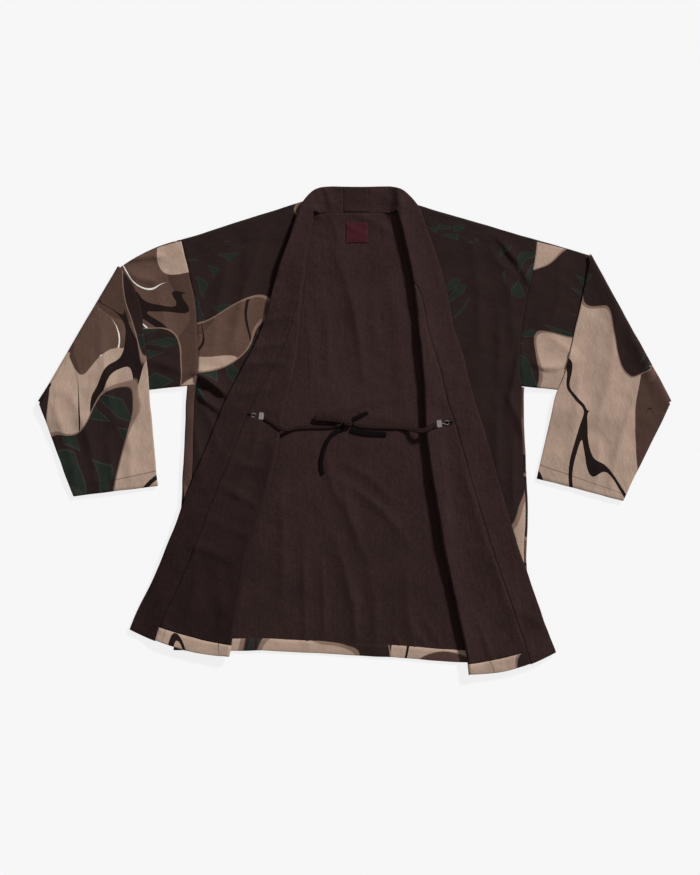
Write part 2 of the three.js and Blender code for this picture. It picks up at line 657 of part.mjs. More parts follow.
const STUB = [[-4, 21.5, 8], [2, 24.5, 7.2], [9, 27.5, 5.6], [16, 30.3, LYING], [21, 32, LYING]];

const KNOT = { centre: [-12.5, 15.5, 9], size: [8, 8.5, 6.2] };

function addTies() {
  addPiece('tie_right', sweepOval(TIE_RIGHT, TAPE, 30), CORD_BRAID);
  addPiece('tie_left', sweepOval(TIE_LEFT, TAPE, 30), CORD_BRAID);
  addPiece('tie_tail_right', sweepOval(TAIL_RIGHT, NARROW_TAPE, 14), CORD_BRAID);
  addPiece('tie_tail_left', sweepOval(TAIL_LEFT, WIDE_TAPE, 10), CORD_BRAID);
  addPiece('tie_bow', sweepOval(BOW_LOOP, BOW_TAPE, 26), CORD_BRAID);
  addPiece('tie_stub', sweepOval(STUB, STUB_TAPE, 6), CORD_BRAID);
  const knot = new THREE.SphereGeometry(1, 12, 8);
  knot.deleteAttribute('normal');
  knot.deleteAttribute('uv');
  knot.scale(...KNOT.size).translate(...KNOT.centre);
  addPiece('tie_knot', knot, CORD_BRAID);
}

// A folded metal crimp on the cord's end, its hook, and the thread loop the hook is in
const CRIMP = { length: 8, width: 12, thick: 5, corner: 1.4 };
const HOOK = { shank: 4, offset: 1.4, bend: 3.4, centre: 4.6 };
const CLASPS = {
  right: { crimp: [-155.5, 26.5], angle: Math.PI - 0.12, level: ON_FLAP + 2.8 },
  left: { crimp: [140, 13.8], angle: 0.14, level: ON_FLAP + 4.4 },
};

function hookRoute(start) {
  const bent = start + HOOK.shank;
  const route = [[start, 0, 0], [start + HOOK.shank / 2, 0, 0], [bent, -HOOK.offset, 0]];
  for (let k = 0; k <= 6; k++) {
    const turn = Math.PI * (k / 4 - 0.75);
    const across = bent + HOOK.centre + HOOK.bend * Math.cos(turn);
    route.push([across, HOOK.bend * Math.sin(turn), 0]);
  }
  return route;
}

// The loop runs under the hook's bend, up inside it and back over its far side
function loopRoute(ring) {
  const rise = (LOOP_CORD.thick + WIRE.thick) / 2 + 0.5;
  return [
    [ring + 7, 0.6, -rise], [ring + 3, 0.4, -rise], [ring - 0.6, 0, -rise], [ring - 2.7, 0, -rise / 2],
    [ring - 2.7, 0, rise / 2], [ring - 0.6, 0, rise], [ring + 3, -0.4, rise * 0.7], [ring + 7, -0.6, 0],
  ];
}

function addClasp(side) {
  const { crimp, angle, level } = CLASPS[side.name];
  const [x, y, corner] = [CRIMP.length / 2, CRIMP.width / 2, CRIMP.corner];
  const block = plate([[x, y - corner], [x - corner, y]], CRIMP.thick);
  block.translate(0, 0, -CRIMP.thick / 2);
  const start = x + GAP;
  const ring = start + HOOK.shank + HOOK.centre + HOOK.bend;
  const clasp = new THREE.Group();
  clasp.add(
    addPiece(`clasp_crimp_${side.name}`, block, NICKEL),
    addPiece(`clasp_hook_${side.name}`, sweepOval(hookRoute(start), WIRE, 20, 6), NICKEL),
    addPiece(`thread_loop_${side.name}`, sweepOval(loopRoute(ring), LOOP_CORD, 16, 6), CORD_BRAID),
  );
  clasp.position.set(...crimp, level);
  clasp.rotation.z = angle;
  haori.add(clasp);
}

addBackShell();
addBackLining();
for (const side of SIDES) {
  addFrontShell(side);
  addFrontLining(side);
  addGusset(side);
  addSleeve(side);
  addCollarBand(side);
  addClasp(side);
}
addNeckBand();
addLabel();
addTies();

export default haori;
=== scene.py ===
"""A lined haori jacket laid flat on its back, with both fronts turned open and a cord tied across."""
import logging
import math
from dataclasses import dataclass
from enum import Enum
from functools import partial
from typing import Callable, ClassVar, Sequence

import bpy
import numpy as np
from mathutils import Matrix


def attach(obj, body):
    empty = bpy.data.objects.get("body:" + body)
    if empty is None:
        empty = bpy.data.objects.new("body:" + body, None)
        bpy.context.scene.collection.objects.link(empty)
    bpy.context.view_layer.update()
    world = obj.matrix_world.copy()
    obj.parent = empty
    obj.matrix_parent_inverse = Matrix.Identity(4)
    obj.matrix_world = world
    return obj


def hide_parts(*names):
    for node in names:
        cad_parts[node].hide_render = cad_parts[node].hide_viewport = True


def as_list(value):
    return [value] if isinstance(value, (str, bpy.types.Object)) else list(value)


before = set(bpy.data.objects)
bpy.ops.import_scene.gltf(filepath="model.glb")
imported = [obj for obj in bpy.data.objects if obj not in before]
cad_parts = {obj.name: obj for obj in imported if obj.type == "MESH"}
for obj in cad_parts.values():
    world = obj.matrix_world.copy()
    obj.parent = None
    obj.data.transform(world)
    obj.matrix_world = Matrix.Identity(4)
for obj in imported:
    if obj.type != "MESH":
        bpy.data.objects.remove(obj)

LOG = logging.getLogger("haori")
MM = 0.001
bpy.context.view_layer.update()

# Walls and levels, in millimetres, as in the solids
SHELL, LINING, BAND, GAP = 1.2, 1.0, 2.5, 0.3
STACK = 2 * SHELL + GAP
FRONT_BASE = STACK + GAP
FRONT_TOP = FRONT_BASE + STACK
EDGE_RADIUS = FRONT_TOP / 2
# A turned fold: its inner radius, the cloth's way round it, and how soon it lies flat past it
ROLL = 1.6
HALF_TURN = math.pi * (ROLL + STACK / 2)
ROLL_RELAX = 30.0
# The band, the turned hem and the gusset's under side
BAND_WIDTH, HEM_TURN, GUSSET_UNDER = 43.0, 20.0, 22.0
# What one station comes to at the hem and at the shoulder, and how far a turned hem sags between its corners
HEM_RUN, SHOULDER_RUN, HEM_SAG = 40.0, 26.0, 10.0
# Past the body's side, and past its hem, a turned front lies level for a lip and then falls to the table
SIDE_LIP, SIDE_FALL, HEM_LIP, HEM_FALL = 14.0, 45.0, 8.0, 30.0
NECK_SEAM_Y, NECK_POINT_X = 364.0, 69.3
# Stations down to the underarm, and those where the band's seam crosses the fold
ARMHOLE_STATIONS = 8
SEAM_STATION, CROSSING = 4.5, 0.5
# From the tables' origin to the part's, and a distance that stands for no seam nearby
TABLE_OFFSET_Y = 1.9
NO_SEAM = 900.0

# Free edge of the band, fold, and armhole or side seam, from the shoulder to the hem
FRONT_RIGHT = [
    (-90, 386, -69.5, 389, -289, 319), (-90, 378, -69, 362, -283, 295.5),
    (-99, 354, -71, 345, -279, 279), (-111, 317, -76, 310, -273, 252),
    (-127, 272, -83, 260, -265.5, 219), (-140, 222, -89, 211, -262, 182.5),
    (-154, 173, -94, 153, -260.5, 144.5), (-178, 124, -102, 101, -260.5, 106),
    (-203, 78, -115, 48, -265, 77), (-224, 32, -123, 3, -268.5, 11.5),
    (-249, -30, -134.5, -65, -270, -60), (-277, -96, -154, -129, -274, -129.5),
    (-305, -171, -177, -196, -279, -196), (-334, -242, -190, -270, -283, -262),
    (-358, -290, -202, -334, -287, -322), (-373.5, -327, -209, -373.5, -289, -362),
]
FRONT_LEFT = [
    (90, 386, 70, 386.5, 302, 319), (98, 384, 70, 362, 300.5, 299),
    (109, 367, 74, 345, 298.5, 282), (119.5, 335, 82, 314, 292, 252),
    (134.5, 297, 91, 275.5, 285.5, 222.5), (151.5, 239, 99.5, 219, 279.5, 189),
    (163.5, 178.5, 105.5, 157.5, 274.5, 151), (179.5, 126, 111, 101, 273, 109.5),
    (194, 68, 115, 48, 276.5, 74), (208.5, 23, 116.5, 0, 276.5, 11.5),
    (228.5, -45, 126, -71.5, 280.5, -63), (246.5, -110, 135.5, -129.5, 283, -129.5),
    (265.5, -173, 146, -193, 280.5, -196), (293, -254, 164, -274, 282, -274),
    (319, -327.5, 183, -363.5, 284.5, -342), (333, -365, 188.5, -403.5, 285.5, -382),
]
# Free edge and seam of the band behind the neck, its rise onto the front, and its wrap round it
NECK_RIGHT = [
    (-20, 407, -20, 364, 0, 0), (-41.5, 407, -41.5, 364, 0, 0),
    (-60, 405, -58, 363.5, 0.3, 0), (-75, 396.5, -66.5, 365, 1, 0.6),
]
NECK_LEFT = [
    (22.5, 407, 22.5, 364, 0, 0), (45, 407, 42, 364, 0, 0),
    (63, 406.5, 58, 363.5, 0.3, 0), (80, 401, 67, 366, 1, 0.6),
]
# Outermost edge of the body below each armhole as (y, x), and the back's hem as (x, y)
SIDE_EDGE_RIGHT = [(-362, -302), (-210, -294), (-130, -289), (-70, -285.5), (11.5, -282), (80, -279)]
SIDE_EDGE_LEFT = [(-382, 289.5), (-210, 284.5), (-130, 287), (-70, 285), (11.5, 280.5), (80, 280.5)]
BACK_HEM = [(-305, -362), (-191, -363.5), (-151, -362), (-51, -368), (48, -373.5), (168, -382), (305, -385)]

Array = np.ndarray
Socket = bpy.types.NodeSocket
Value = Socket | float | tuple
Twist = Callable[[Array], Array]


def mix(a: Array, b: Array, k: Array) -> Array:
    """Goes from a to b as k goes from 0 to 1."""
    return a + (b - a) * k


def smooth(k: Array) -> Array:
    """Eases k from 0 to 1, held outside that."""
    k = np.clip(k, 0, 1)
    return k * k * (3 - 2 * k)


def unit(v: Array) -> Array:
    """Vectors of length one along the last axis."""
    return v / np.maximum(np.linalg.norm(v, axis=-1, keepdims=True), 1e-9)


def read(rows: Sequence[tuple], at: Array) -> Array:
    """Reads the second column of a rising table at values of its first."""
    table = np.array(rows, float)
    return np.interp(at, table[:, 0], table[:, 1])


def spline(rows: Sequence, v: Array) -> Array:
    """Points of a smooth curve through rows, at row numbers v."""
    table = np.array(rows, float)
    last = len(table) - 1
    i = np.clip(np.floor(v).astype(int), 0, last - 1)
    k = (v - i)[..., None]
    b, c = table[i], table[i + 1]
    a = np.where(i[..., None] > 0, table[np.maximum(i - 1, 0)], 2 * b - c)
    d = np.where(i[..., None] < last - 1, table[np.minimum(i + 2, last)], 2 * c - b)
    cubic = (3 * b - a - 3 * c + d) * k**3 + (2 * a - 5 * b + 4 * c - d) * k**2
    return 0.5 * (2 * b + (c - a) * k + cubic)


def polyline(points: Sequence, fractions: Array) -> Array:
    """Points of a polyline at fractions of its length."""
    table = np.array(points, float)
    run = np.concatenate([[0], np.cumsum(np.linalg.norm(np.diff(table, axis=0), axis=1))])
    at = np.clip(fractions, 0, 1) * run[-1]
    return np.stack([np.interp(at, run, table[:, axis]) for axis in range(table.shape[1])], -1)


def straight(start: Array, end: Array, f: Array) -> Array:
    """Points of a straight line at fractions f of its length."""
    return mix(start, end, f[..., None])


@dataclass(frozen=True)
class Crease:
    """A soft ridge in the cloth, drawn from start to end."""

    start: tuple[float, float]
    end: tuple[float, float]
    height: float
    width: float
    bow: float = 0.0
    lean: float = 0.0

    def lift(self, x: Array, y: Array) -> Array:
        """Height of the ridge at points in plan.

        Args:
            x: across, in millimetres.
            y: towards the neck, in millimetres.

        Returns:
            The height there, nought beyond the ridge.
        """
        a, b = np.array(self.start), np.array(self.end)
        length = float(np.linalg.norm(b - a))
        way = (b - a) / length
        along = ((x - a[0]) * way[0] + (y - a[1]) * way[1]) / length
        off = (x - a[0]) * -way[1] + (y - a[1]) * way[0]
        off = off - self.bow * 4 * np.clip(along, 0, 1) * (1 - np.clip(along, 0, 1))
        end = np.maximum(0, np.maximum(-along, along - 1)) * length
        spread = self.width * np.where(off > 0, 1 + self.lean, 1 - self.lean)
        fade = 0.45 + 0.55 * np.sin(np.pi * np.clip(along, 0, 1)) ** 0.7
        fade = fade * (0.86 + 0.14 * np.sin(along * 9 + a[0] * 0.1))
        crest = np.exp(-(np.abs(off / spread) ** 1.5) - (end / (self.width * 1.3)) ** 2)
        return self.height * fade * crest


def ripple(x: Array, y: Array, size: float, seed: float) -> Array:
    """Slow unevenness from 0 to about 1, with waves about size millimetres long."""
    total = np.zeros_like(x)
    for k in range(6):
        turn = seed * 1.7 + k * 1.13
        reach = 2 * np.pi / (size * (0.7 + 0.23 * k))
        total += np.sin(reach * (x * math.cos(turn) + y * math.sin(turn)) + seed * 3 + k * 2.4) / (1 + 0.25 * k)
    return 0.5 + total / 7.4


class Relief:
    """Creases of each layer; a layer also rides on the creases of the layers below it."""

    BACK = [
        Crease((-32, 300), (12, 95), 4.6, 10, 9, 0.1),
        Crease((-47, 200), (-46, 84), 3.0, 8, 2),
        Crease((-76, 178), (-70, 84), 2.2, 8),
        Crease((58, 250), (80, 30), 2.6, 13, 6),
        Crease((30, 220), (44, 130), 1.6, 8, -4),
        Crease((-44, -50), (-22, -122), 2.8, 6.5, -5),
        Crease((-24, -50), (60, -110), 2.4, 6, 8),
        Crease((-34, -74), (88, -182), 3.0, 6.5, 10),
        Crease((-24, -84), (22, -215), 3.6, 8, -4),
        Crease((-30, -180), (2, -330), 4.4, 8, 3, -0.2),
        Crease((-122, -108), (-121, -300), 2.8, 9, 3),
        Crease((-82, -180), (-80, -350), 3.4, 7, -3),
        Crease((-56, -220), (-52, -352), 3.2, 6.5, 3),
        Crease((-2, -250), (0, -360), 3.2, 6.5, 2),
        Crease((26, -240), (34, -362), 3.0, 7, 4),
        Crease((84, -226), (101, -374), 3.0, 9, -4),
        Crease((108, -298), (140, -350), 2.0, 5),
        Crease((90, -316), (120, -364), 1.8, 5, 2),
        Crease((60, -330), (82, -366), 1.8, 5),
        Crease((-44, 30), (2, 42), 2.0, 5.5, 3),
        Crease((14, 28), (74, 17), 2.0, 5.5, 2),
        Crease((6, 44), (70, 52), 1.4, 6, 4),
        Crease((-4, 362), (60, 330), 1.8, 8, 5),
        Crease((-51, 404), (-41, 366), 4.0, 6.5, 3, 0.3),
        Crease((-63, 402), (-58, 384), 4.0, 4.5, -2),
        Crease((26, 400), (60, 384), 1.6, 6, 3),
        Crease((70, 404), (78, 372), 5.0, 6.5, -2),
        Crease((-42, 356), (-22, 296), 2.2, 7, 3),
    ]
    FRONT = [
        Crease((-156, 322), (-204, 140), 5.0, 9, -4, 0.1),
        Crease((-206, 302), (-234, 136), 3.6, 10, -5),
        Crease((-267, 97), (-220, 64), 16.0, 6.5, 3, 0.6),
        Crease((-262, 70), (-228, 38), 8.0, 6, -3, 0.4),
        Crease((-252, 40), (-228, -26), 3.2, 7, 4),
        Crease((-270, 22), (-254, -92), 3.0, 7, 3),
        Crease((-272, -100), (-264, -310), 2.0, 8, 3),
        Crease((-176, 330), (-188, 262), 2.2, 8, 2),
        Crease((236, 322), (288, 248), 5.6, 6.5, 3, 0.6),
        Crease((226, 300), (262, 262), 2.4, 6, -2),
        Crease((196, 306), (206, 150), 3.4, 10, 4),
        Crease((250, 262), (262, 150), 3.2, 9, 4),
        Crease((240, 190), (236, 90), 4.0, 8, 2),
        Crease((276, 140), (254, 30), 5.0, 7, -2, 0.2),
        Crease((254, 60), (285, -22), 4.6, 6.5, 2, 0.2),
        Crease((236, 40), (240, -80), 2.6, 7, -2),
        Crease((263, -20), (262, -124), 3.6, 6.5, 1),
        Crease((272, -150), (266, -334), 2.2, 8, -3),
    ]
    TURNED = [
        Crease((-88, 386), (-143, 214), 13.0, 15, -3),
        Crease((-146, 200), (-186, 108), 3.4, 10, -2),
        Crease((72, 356), (100, 215), 6.0, 13, -1),
        Crease((100, 215), (117, 20), 4.4, 12),
        Crease((117, 20), (190, -400), 4.6, 12, -4),
        Crease((-278, -186), (-208, -214), 4.2, 6.5, 2, 0.4),
        Crease((-222, -92), (-168, -122), 3.4, 6, 2, 0.3),
        Crease((-196, -51), (-152, -58), 2.4, 6, -2),
        Crease((-236, -148), (-158, -176), 2.2, 7, -3),
        Crease((-228, -234), (-223, -322), 2.8, 8, 3),
        Crease((-262, -238), (-277, -322), 2.8, 8, -3),
        Crease((-162, 178), (-110, 192), 2.2, 6, 2),
        Crease((-170, 140), (-112, 152), 2.4, 6, -2),
        Crease((-178, 112), (-122, 116), 2.0, 7, 2),
        Crease((-196, 64), (-140, 74), 1.8, 6, -2),
        Crease((-150, 62), (-192, -94), 2.4, 10, 6),
        Crease((-128, -10), (-208, -372), 3.4, 9),
        Crease((-318, -232), (-338, -262), 2.4, 5.5),
        Crease((-306, -252), (-328, -284), 2.4, 5.5),
        Crease((140, 0), (150, -180), 4.0, 11, 3),
        Crease((170, -40), (216, -204), 2.8, 11, 5),
        Crease((216, -178), (262, -334), 2.8, 10, 4),
        Crease((198, -300), (228, -384), 2.6, 8, 2),
        Crease((250, -290), (312, -318), 2.2, 7, 3),
        Crease((118, 190), (134, 50), 2.2, 9, -3),
    ]
    SLEEVE = [
        Crease((-385, 282), (-322, 290), 8.0, 6.5, 3, 0.4),
        Crease((-378, 264), (-328, 248), 5.0, 6.5, -3, 0.3),
        Crease((-342, 252), (-298, 264), 3.6, 6.5, 2),
        Crease((-352, 118), (-284, 96), 5.6, 7.5, 4, 0.2),
        Crease((-346, 150), (-300, 132), 3.6, 7, -3),
        Crease((-330, 240), (-318, 150), 3.0, 10, 4),
        Crease((-472, 60), (-430, -86), 3.4, 11, 8, 0.2),
        Crease((-420, 204), (-396, 8), 3.2, 12, -8),
        Crease((-500, 44), (-462, -94), 2.4, 9, 4),
        Crease((-380, 10), (-372, -84), 2.6, 9, 3),
        Crease((-410, -20), (-398, -88), 2.0, 7, -2),
        Crease((340, 300), (330, 180), 3.2, 10, 5),
        Crease((292, 116), (354, 114), 7.0, 6.5, -10, 0.5),
        Crease((330, 154), (366, 122), 3.6, 7, 2),
        Crease((302, 160), (298, 112), 3.0, 7, 2),
        Crease((368, 112), (356, -52), 2.8, 11, 6),
        Crease((472, 62), (424, -98), 3.4, 10, -8, 0.2),
        Crease((432, 194), (402, 18), 3.2, 12, 8),
        Crease((404, -20), (398, -92), 2.6, 8, 3),
        Crease((462, 150), (500, 60), 2.4, 9, 4),
    ]

    @classmethod
    def settle(cls, points: Array, front: Array, turned: Array) -> Array:
        """Lays flat points over the creases and lets their edges wander a little.

        Args:
            points: positions in millimetres, in the flat stack.
            front: how far each point rides on the front's and sleeve's upper layer, 0 to 1.
            turned: how far it rides on the layer that is turned over, 0 to 1.

        Returns:
            The settled positions.
        """
        x, y, z = (points[..., axis] for axis in range(3))
        sleeve = cls._sum(cls.SLEEVE, x, y)
        base = cls._sum(cls.BACK, x, y) + 1.5 * ripple(x, y, 110, 1.0) + cls._crumple(x, y, 8.0)
        upper = cls._sum(cls.FRONT, x, y) + sleeve * 0.7 + 1.5 * ripple(x, y, 90, 2.0) + cls._crumple(x, y, 9.0)
        over = cls._sum(cls.TURNED, x, y) + sleeve * 0.6 + 1.3 * ripple(x, y, 80, 3.0) + cls._crumple(x, y, 6.5)
        shift_x = 1.5 * (ripple(x * 0 + y, y, 120, 4.0) - 0.5) + 0.8 * (ripple(x, y, 46, 5.0) - 0.5)
        shift_y = 1.5 * (ripple(x, x * 0, 130, 6.0) - 0.5) + 0.8 * (ripple(x, y, 50, 7.0) - 0.5)
        return np.stack([x + shift_x, y + shift_y, z + base + front * upper + turned * over], -1)

    @staticmethod
    def _crumple(x: Array, y: Array, seed: float) -> Array:
        """Small unevenness left by wearing and folding."""
        return 0.6 * ripple(x, y, 36, seed) + 0.28 * ripple(x, y, 17, seed + 2.3)

    @staticmethod
    def _sum(creases: Sequence[Crease], x: Array, y: Array) -> Array:
        """Height of all of a layer's creases."""
        return sum((crease.lift(x, y) for crease in creases), np.zeros_like(x))


@dataclass
class Grid:
    """One face of a wall: positions, how they ride on the layers, and where they are on the cloth."""

    points: Array
    front: Array
    turned: Array
    cloth: Array

    def settled(self) -> Array:
        """The face's final positions, in metres and about the part's origin."""
        placed = Relief.settle(self.points, self.front, self.turned)
        placed[..., 1] -= TABLE_OFFSET_Y
        return placed * MM


@dataclass
class Side:
    """The tables of one side of the jacket, read at any station."""

    name: str
    sign: int
    front: Sequence
    neck: Sequence
    edge: Sequence

    def whole_band(self) -> list:
        """Stations of the collar band from the middle of the neck to the hem."""
        return [*self.neck, *self.front[1:]]

    def armhole(self) -> Array:
        """The armhole's points from the shoulder down to the underarm."""
        rows = [row[4:6] for row in self.front[:ARMHOLE_STATIONS]]
        return np.array([*rows, (self.front[ARMHOLE_STATIONS][4], UNDERARM_Y[self.name])], float)


UNDERARM_Y = {"right": 78.0, "left": 76.0}
RIGHT = Side("right", -1, FRONT_RIGHT, NECK_RIGHT, SIDE_EDGE_RIGHT)
LEFT = Side("left", 1, FRONT_LEFT, NECK_LEFT, SIDE_EDGE_LEFT)
SIDES = (RIGHT, LEFT)


def back_hem(x: Array) -> Array:
    """Where the back's hem runs, rounded a little between the table's rows."""
    return (read(BACK_HEM, x - 16) + read(BACK_HEM, x) + read(BACK_HEM, x + 16)) / 3


def crossing(v: Array) -> Array:
    """How far the band's seam has crossed the fold at stations v."""
    return smooth((v - SEAM_STATION + CROSSING) / (2 * CROSSING))


class FrontCloth:
    """Maps a front's cloth, flat or turned back, into place."""

    def __init__(self, side: Side, band: bool, v: Array) -> None:
        """Reads a side's tables.

        Args:
            side: the side.
            band: whether it is for the band, whose stations start behind the neck.
            v: the stations.
        """
        self.side, self.v = side, v
        rows = side.whole_band() if band else side.front
        neck = len(side.neck) - 1 if band else 0
        plan = spline([row[:4] for row in rows], v)
        self.edge, self.fold = plan[:, None, 0:2], plan[:, None, 2:4]
        sides = spline([row[4:6] for row in side.front], np.maximum(v - neck, 0))
        self.side_seam = sides[:, None, :]
        in_neck = [(row[4], row[5]) for row in side.neck] + [(1, 1)] * (len(rows) - len(side.neck))
        lift_wrap = polyline_rows(in_neck, v) if band else np.ones((len(v), 2))
        self.lift, self.wrap = lift_wrap[:, 0:1], lift_wrap[:, 1:2]
        self.sag = np.clip(v - (len(rows) - 2), 0, 1)[:, None]
        self.reach = (ROLL + STACK) * np.sin(np.pi * np.minimum(self.wrap, 0.5))
        self.up = unit(self.fold - self.edge)
        low_from = np.where((v < neck)[:, None, None], self.edge, self.side_seam)
        self.low = unit(self.fold - low_from)
        self.edge_run = np.linalg.norm(self.fold - self.edge, axis=-1) - self.reach
        self.side_run = np.linalg.norm(self.fold - self.side_seam, axis=-1) - self.reach
        self.flap_seam = HALF_TURN + np.maximum(0.8, self.edge_run - BAND_WIDTH)
        self.seam = crossing(v - neck)[:, None] * self.flap_seam

    def base_at(self, x: Array, y: Array) -> Array:
        """Height of what a front lies on."""
        return FRONT_BASE * (1 - smooth((back_hem(x) - HEM_LIP - y) / HEM_FALL))

    def rest_at(self, x: Array, y: Array, opening: Array) -> Array:
        """Height of what a turned-back front lies on, which falls away past the body's side."""
        past = self.side.sign * (x - read(self.side.edge, y)) - SIDE_LIP
        return (self.base_at(x, y) + STACK + opening) * (1 - smooth(past / SIDE_FALL))

    def face(self, t: Array, h: Array, run: Array | None = None) -> Grid:
        """One face of the cloth.

        Args:
            t: cloth distance past the start of the fold, a row for each station.
            h: height in the flat stack, where the turned hem is lowest.
            run: how far along the cloth each row is, where that isn't the plan's own.

        Returns:
            The face, before it settles.
        """
        turn = np.clip(t / HALF_TURN, 0, 1)
        way = unit(mix(self.low, self.up, turn[..., None]))
        centre = self.fold - way * self.reach[..., None]
        radius = ROLL + STACK - h
        past = np.maximum(0, t - HALF_TURN)
        out = np.where(t < 0, t, radius * np.sin(np.pi * turn) - past)
        across = np.clip(past / self.edge_run, 0, 1)
        x = centre[..., 0] + way[..., 0] * out
        y = centre[..., 1] + way[..., 1] * out - self.sag * HEM_SAG * 4 * across * (1 - across)
        opening = mix(2 * ROLL, GAP, smooth(past / ROLL_RELAX))
        flat = self.base_at(x, y) + h
        over = self.rest_at(x, y, opening) * self.lift + STACK - h
        rolled = self.rest_at(x, y, 0 * x) * self.lift + ROLL - radius * np.cos(np.pi * turn)
        z = np.where(t < 0, flat, np.where((past > 0) | (self.wrap == 0), over, rolled))
        along = np.cumsum(np.linalg.norm(np.diff(self.fold[:, 0], axis=0, prepend=self.fold[:1, 0]), axis=1))
        seam = np.abs(t - self.seam) + 0 * x
        cloth = np.stack([t + 0 * x, (along if run is None else run)[:, None] + 0 * x, seam], -1)
        turned = np.clip(t / HALF_TURN, 0, 1) * self.lift + 0 * x
        return Grid(np.stack([x, y, z], -1), np.maximum(self.lift + 0 * x, 0), turned, cloth)


def polyline_rows(rows: Sequence, v: Array) -> Array:
    """Rows of a table at row numbers v, straight between them."""
    table = np.array(rows, float)
    return np.stack([np.interp(v, np.arange(len(table)), table[:, k]) for k in range(table.shape[1])], -1)


def half_turn(radius: float, steps: int) -> list[tuple[tuple[float, float], tuple[float, float]]]:
    """Outer and inner points (out, up) of half a turn of a wall about its centre."""
    found = []
    for k in range(steps + 1):
        angle = math.pi * (k / steps - 0.5)
        found.append(tuple((r * math.cos(angle), r * math.sin(angle)) for r in (radius, radius - SHELL)))
    return found


def wall_mesh(name: str, outer: Grid, inner: Grid, ring: bool = False) -> bpy.types.Object:
    """Makes a closed thin wall with rounded rims from its two faces.

    Args:
        name: the piece's name.
        outer: its outer face.
        inner: its inner face, of the same rows and columns.
        ring: whether its last column joins its first.

    Returns:
        The new mesh object.
    """
    faces_in = [outer.settled(), inner.settled()]
    rows, columns = faces_in[0].shape[:2]
    middle = (faces_in[0] + faces_in[1]) / 2
    thick = np.linalg.norm(faces_in[0] - faces_in[1], axis=-1, keepdims=True)

    def rim(edge: Array, within: Array, size: Array) -> Array:
        """Points just outside an edge, which round it."""
        return edge + unit(edge - within) * size * 0.45

    points = [faces_in[0].reshape(-1, 3), faces_in[1].reshape(-1, 3)]
    cloth = [outer.cloth.reshape(-1, 3), inner.cloth.reshape(-1, 3)]
    top = rim(middle[0], middle[1], thick[0])
    end = rim(middle[-1], middle[-2], thick[-1])
    strips = [(top, outer.cloth[0]), (end, outer.cloth[-1])]
    if not ring:
        strips.append((rim(middle[:, 0], middle[:, 1], thick[:, 0]), outer.cloth[:, 0]))
        strips.append((rim(middle[:, -1], middle[:, -2], thick[:, -1]), outer.cloth[:, -1]))
    starts = []
    count = 2 * rows * columns
    for strip, on_cloth in strips:
        starts.append(count)
        count += len(strip)
        points.append(strip)
        cloth.append(on_cloth)
    at = np.arange(2 * rows * columns).reshape(2, rows, columns)
    quads: list[Array] = []

    def band(a: Array, b: Array, c: Array, d: Array) -> None:
        """Adds a strip of four-sided faces."""
        quads.append(np.stack([a, b, c, d], -1).reshape(-1, 4))

    for face, grid in enumerate(at):
        wide = np.concatenate([grid, grid[:, :1]], axis=1) if ring else grid
        a, b, c, d = wide[:-1, :-1], wide[:-1, 1:], wide[1:, 1:], wide[1:, :-1]
        band(*((a, b, c, d) if face == 0 else (a, d, c, b)))
    for k, (row, start) in enumerate(((0, starts[0]), (rows - 1, starts[1]))):
        mid = start + np.arange(columns)
        lines = [at[0, row], mid, at[1, row]]
        if ring:
            lines = [np.concatenate([line, line[:1]]) for line in lines]
        for first, second in zip(lines, lines[1:]):
            quad = (first[:-1], second[:-1], second[1:], first[1:])
            band(*(quad if k == 0 else quad[::-1]))
    if not ring:
        for k, (column, start) in enumerate(((0, starts[2]), (columns - 1, starts[3]))):
            mid = start + np.arange(rows)
            for first, second in ((at[0, :, column], mid), (mid, at[1, :, column])):
                quad = (first[:-1], first[1:], second[1:], second[:-1])
                band(*(quad if k == 0 else quad[::-1]))
        for row, column, strip_row, strip_col in (
            (0, 0, starts[0], starts[2]),
            (0, columns - 1, starts[0] + columns - 1, starts[3]),
            (rows - 1, 0, starts[1], starts[2] + rows - 1),
            (rows - 1, columns - 1, starts[1] + columns - 1, starts[3] + rows - 1),
        ):
            flip = (row == 0) == (column == 0)
            for face in (0, 1):
                tri = (at[face, row, column], strip_row, strip_col)
                if flip != (face == 0):
                    tri = tri[::-1]
                quads.append(np.array([[*tri, -1]]))
    return make_mesh(name, np.concatenate(points), np.concatenate(quads), np.concatenate(cloth))


def make_mesh(name: str, points: Array, faces: Array, cloth: Array) -> bpy.types.Object:
    """Makes a smooth mesh that carries its cloth coordinates, facing outwards."""
    polygons = [[int(i) for i in face if i >= 0] for face in faces]
    mesh = bpy.data.meshes.new(name)
    mesh.from_pydata(points.tolist(), [], polygons)
    fourth = np.where(faces[:, 3] < 0, faces[:, 2], faces[:, 3])
    a, b, c, d = (points[line] for line in (*faces[:, :3].T, fourth))
    if np.sum(a * (np.cross(b, c) + np.cross(c, d))) < 0:
        mesh.flip_normals()
    mesh.shade_smooth()
    layer = mesh.attributes.new("cloth", "FLOAT_VECTOR", "POINT")
    layer.data.foreach_set("vector", (cloth * MM).astype(np.float32).ravel())
    piece = bpy.data.objects.new(name, mesh)
    bpy.context.scene.collection.objects.link(piece)
    return piece


def linear(colour: str) -> tuple[float, float, float, float]:
    """Turns an sRGB hex colour into linear light."""
    parts = [int(colour[k : k + 2], 16) / 255 for k in (1, 3, 5)]
    bent = [c / 12.92 if c <= 0.04045 else ((c + 0.055) / 1.055) ** 2.4 for c in parts]
    return (*bent, 1.0)


def per_metre(size: float) -> float:
    """How many cells of a pattern fit in a metre when each is size millimetres across."""
    return 1 / (size * MM)


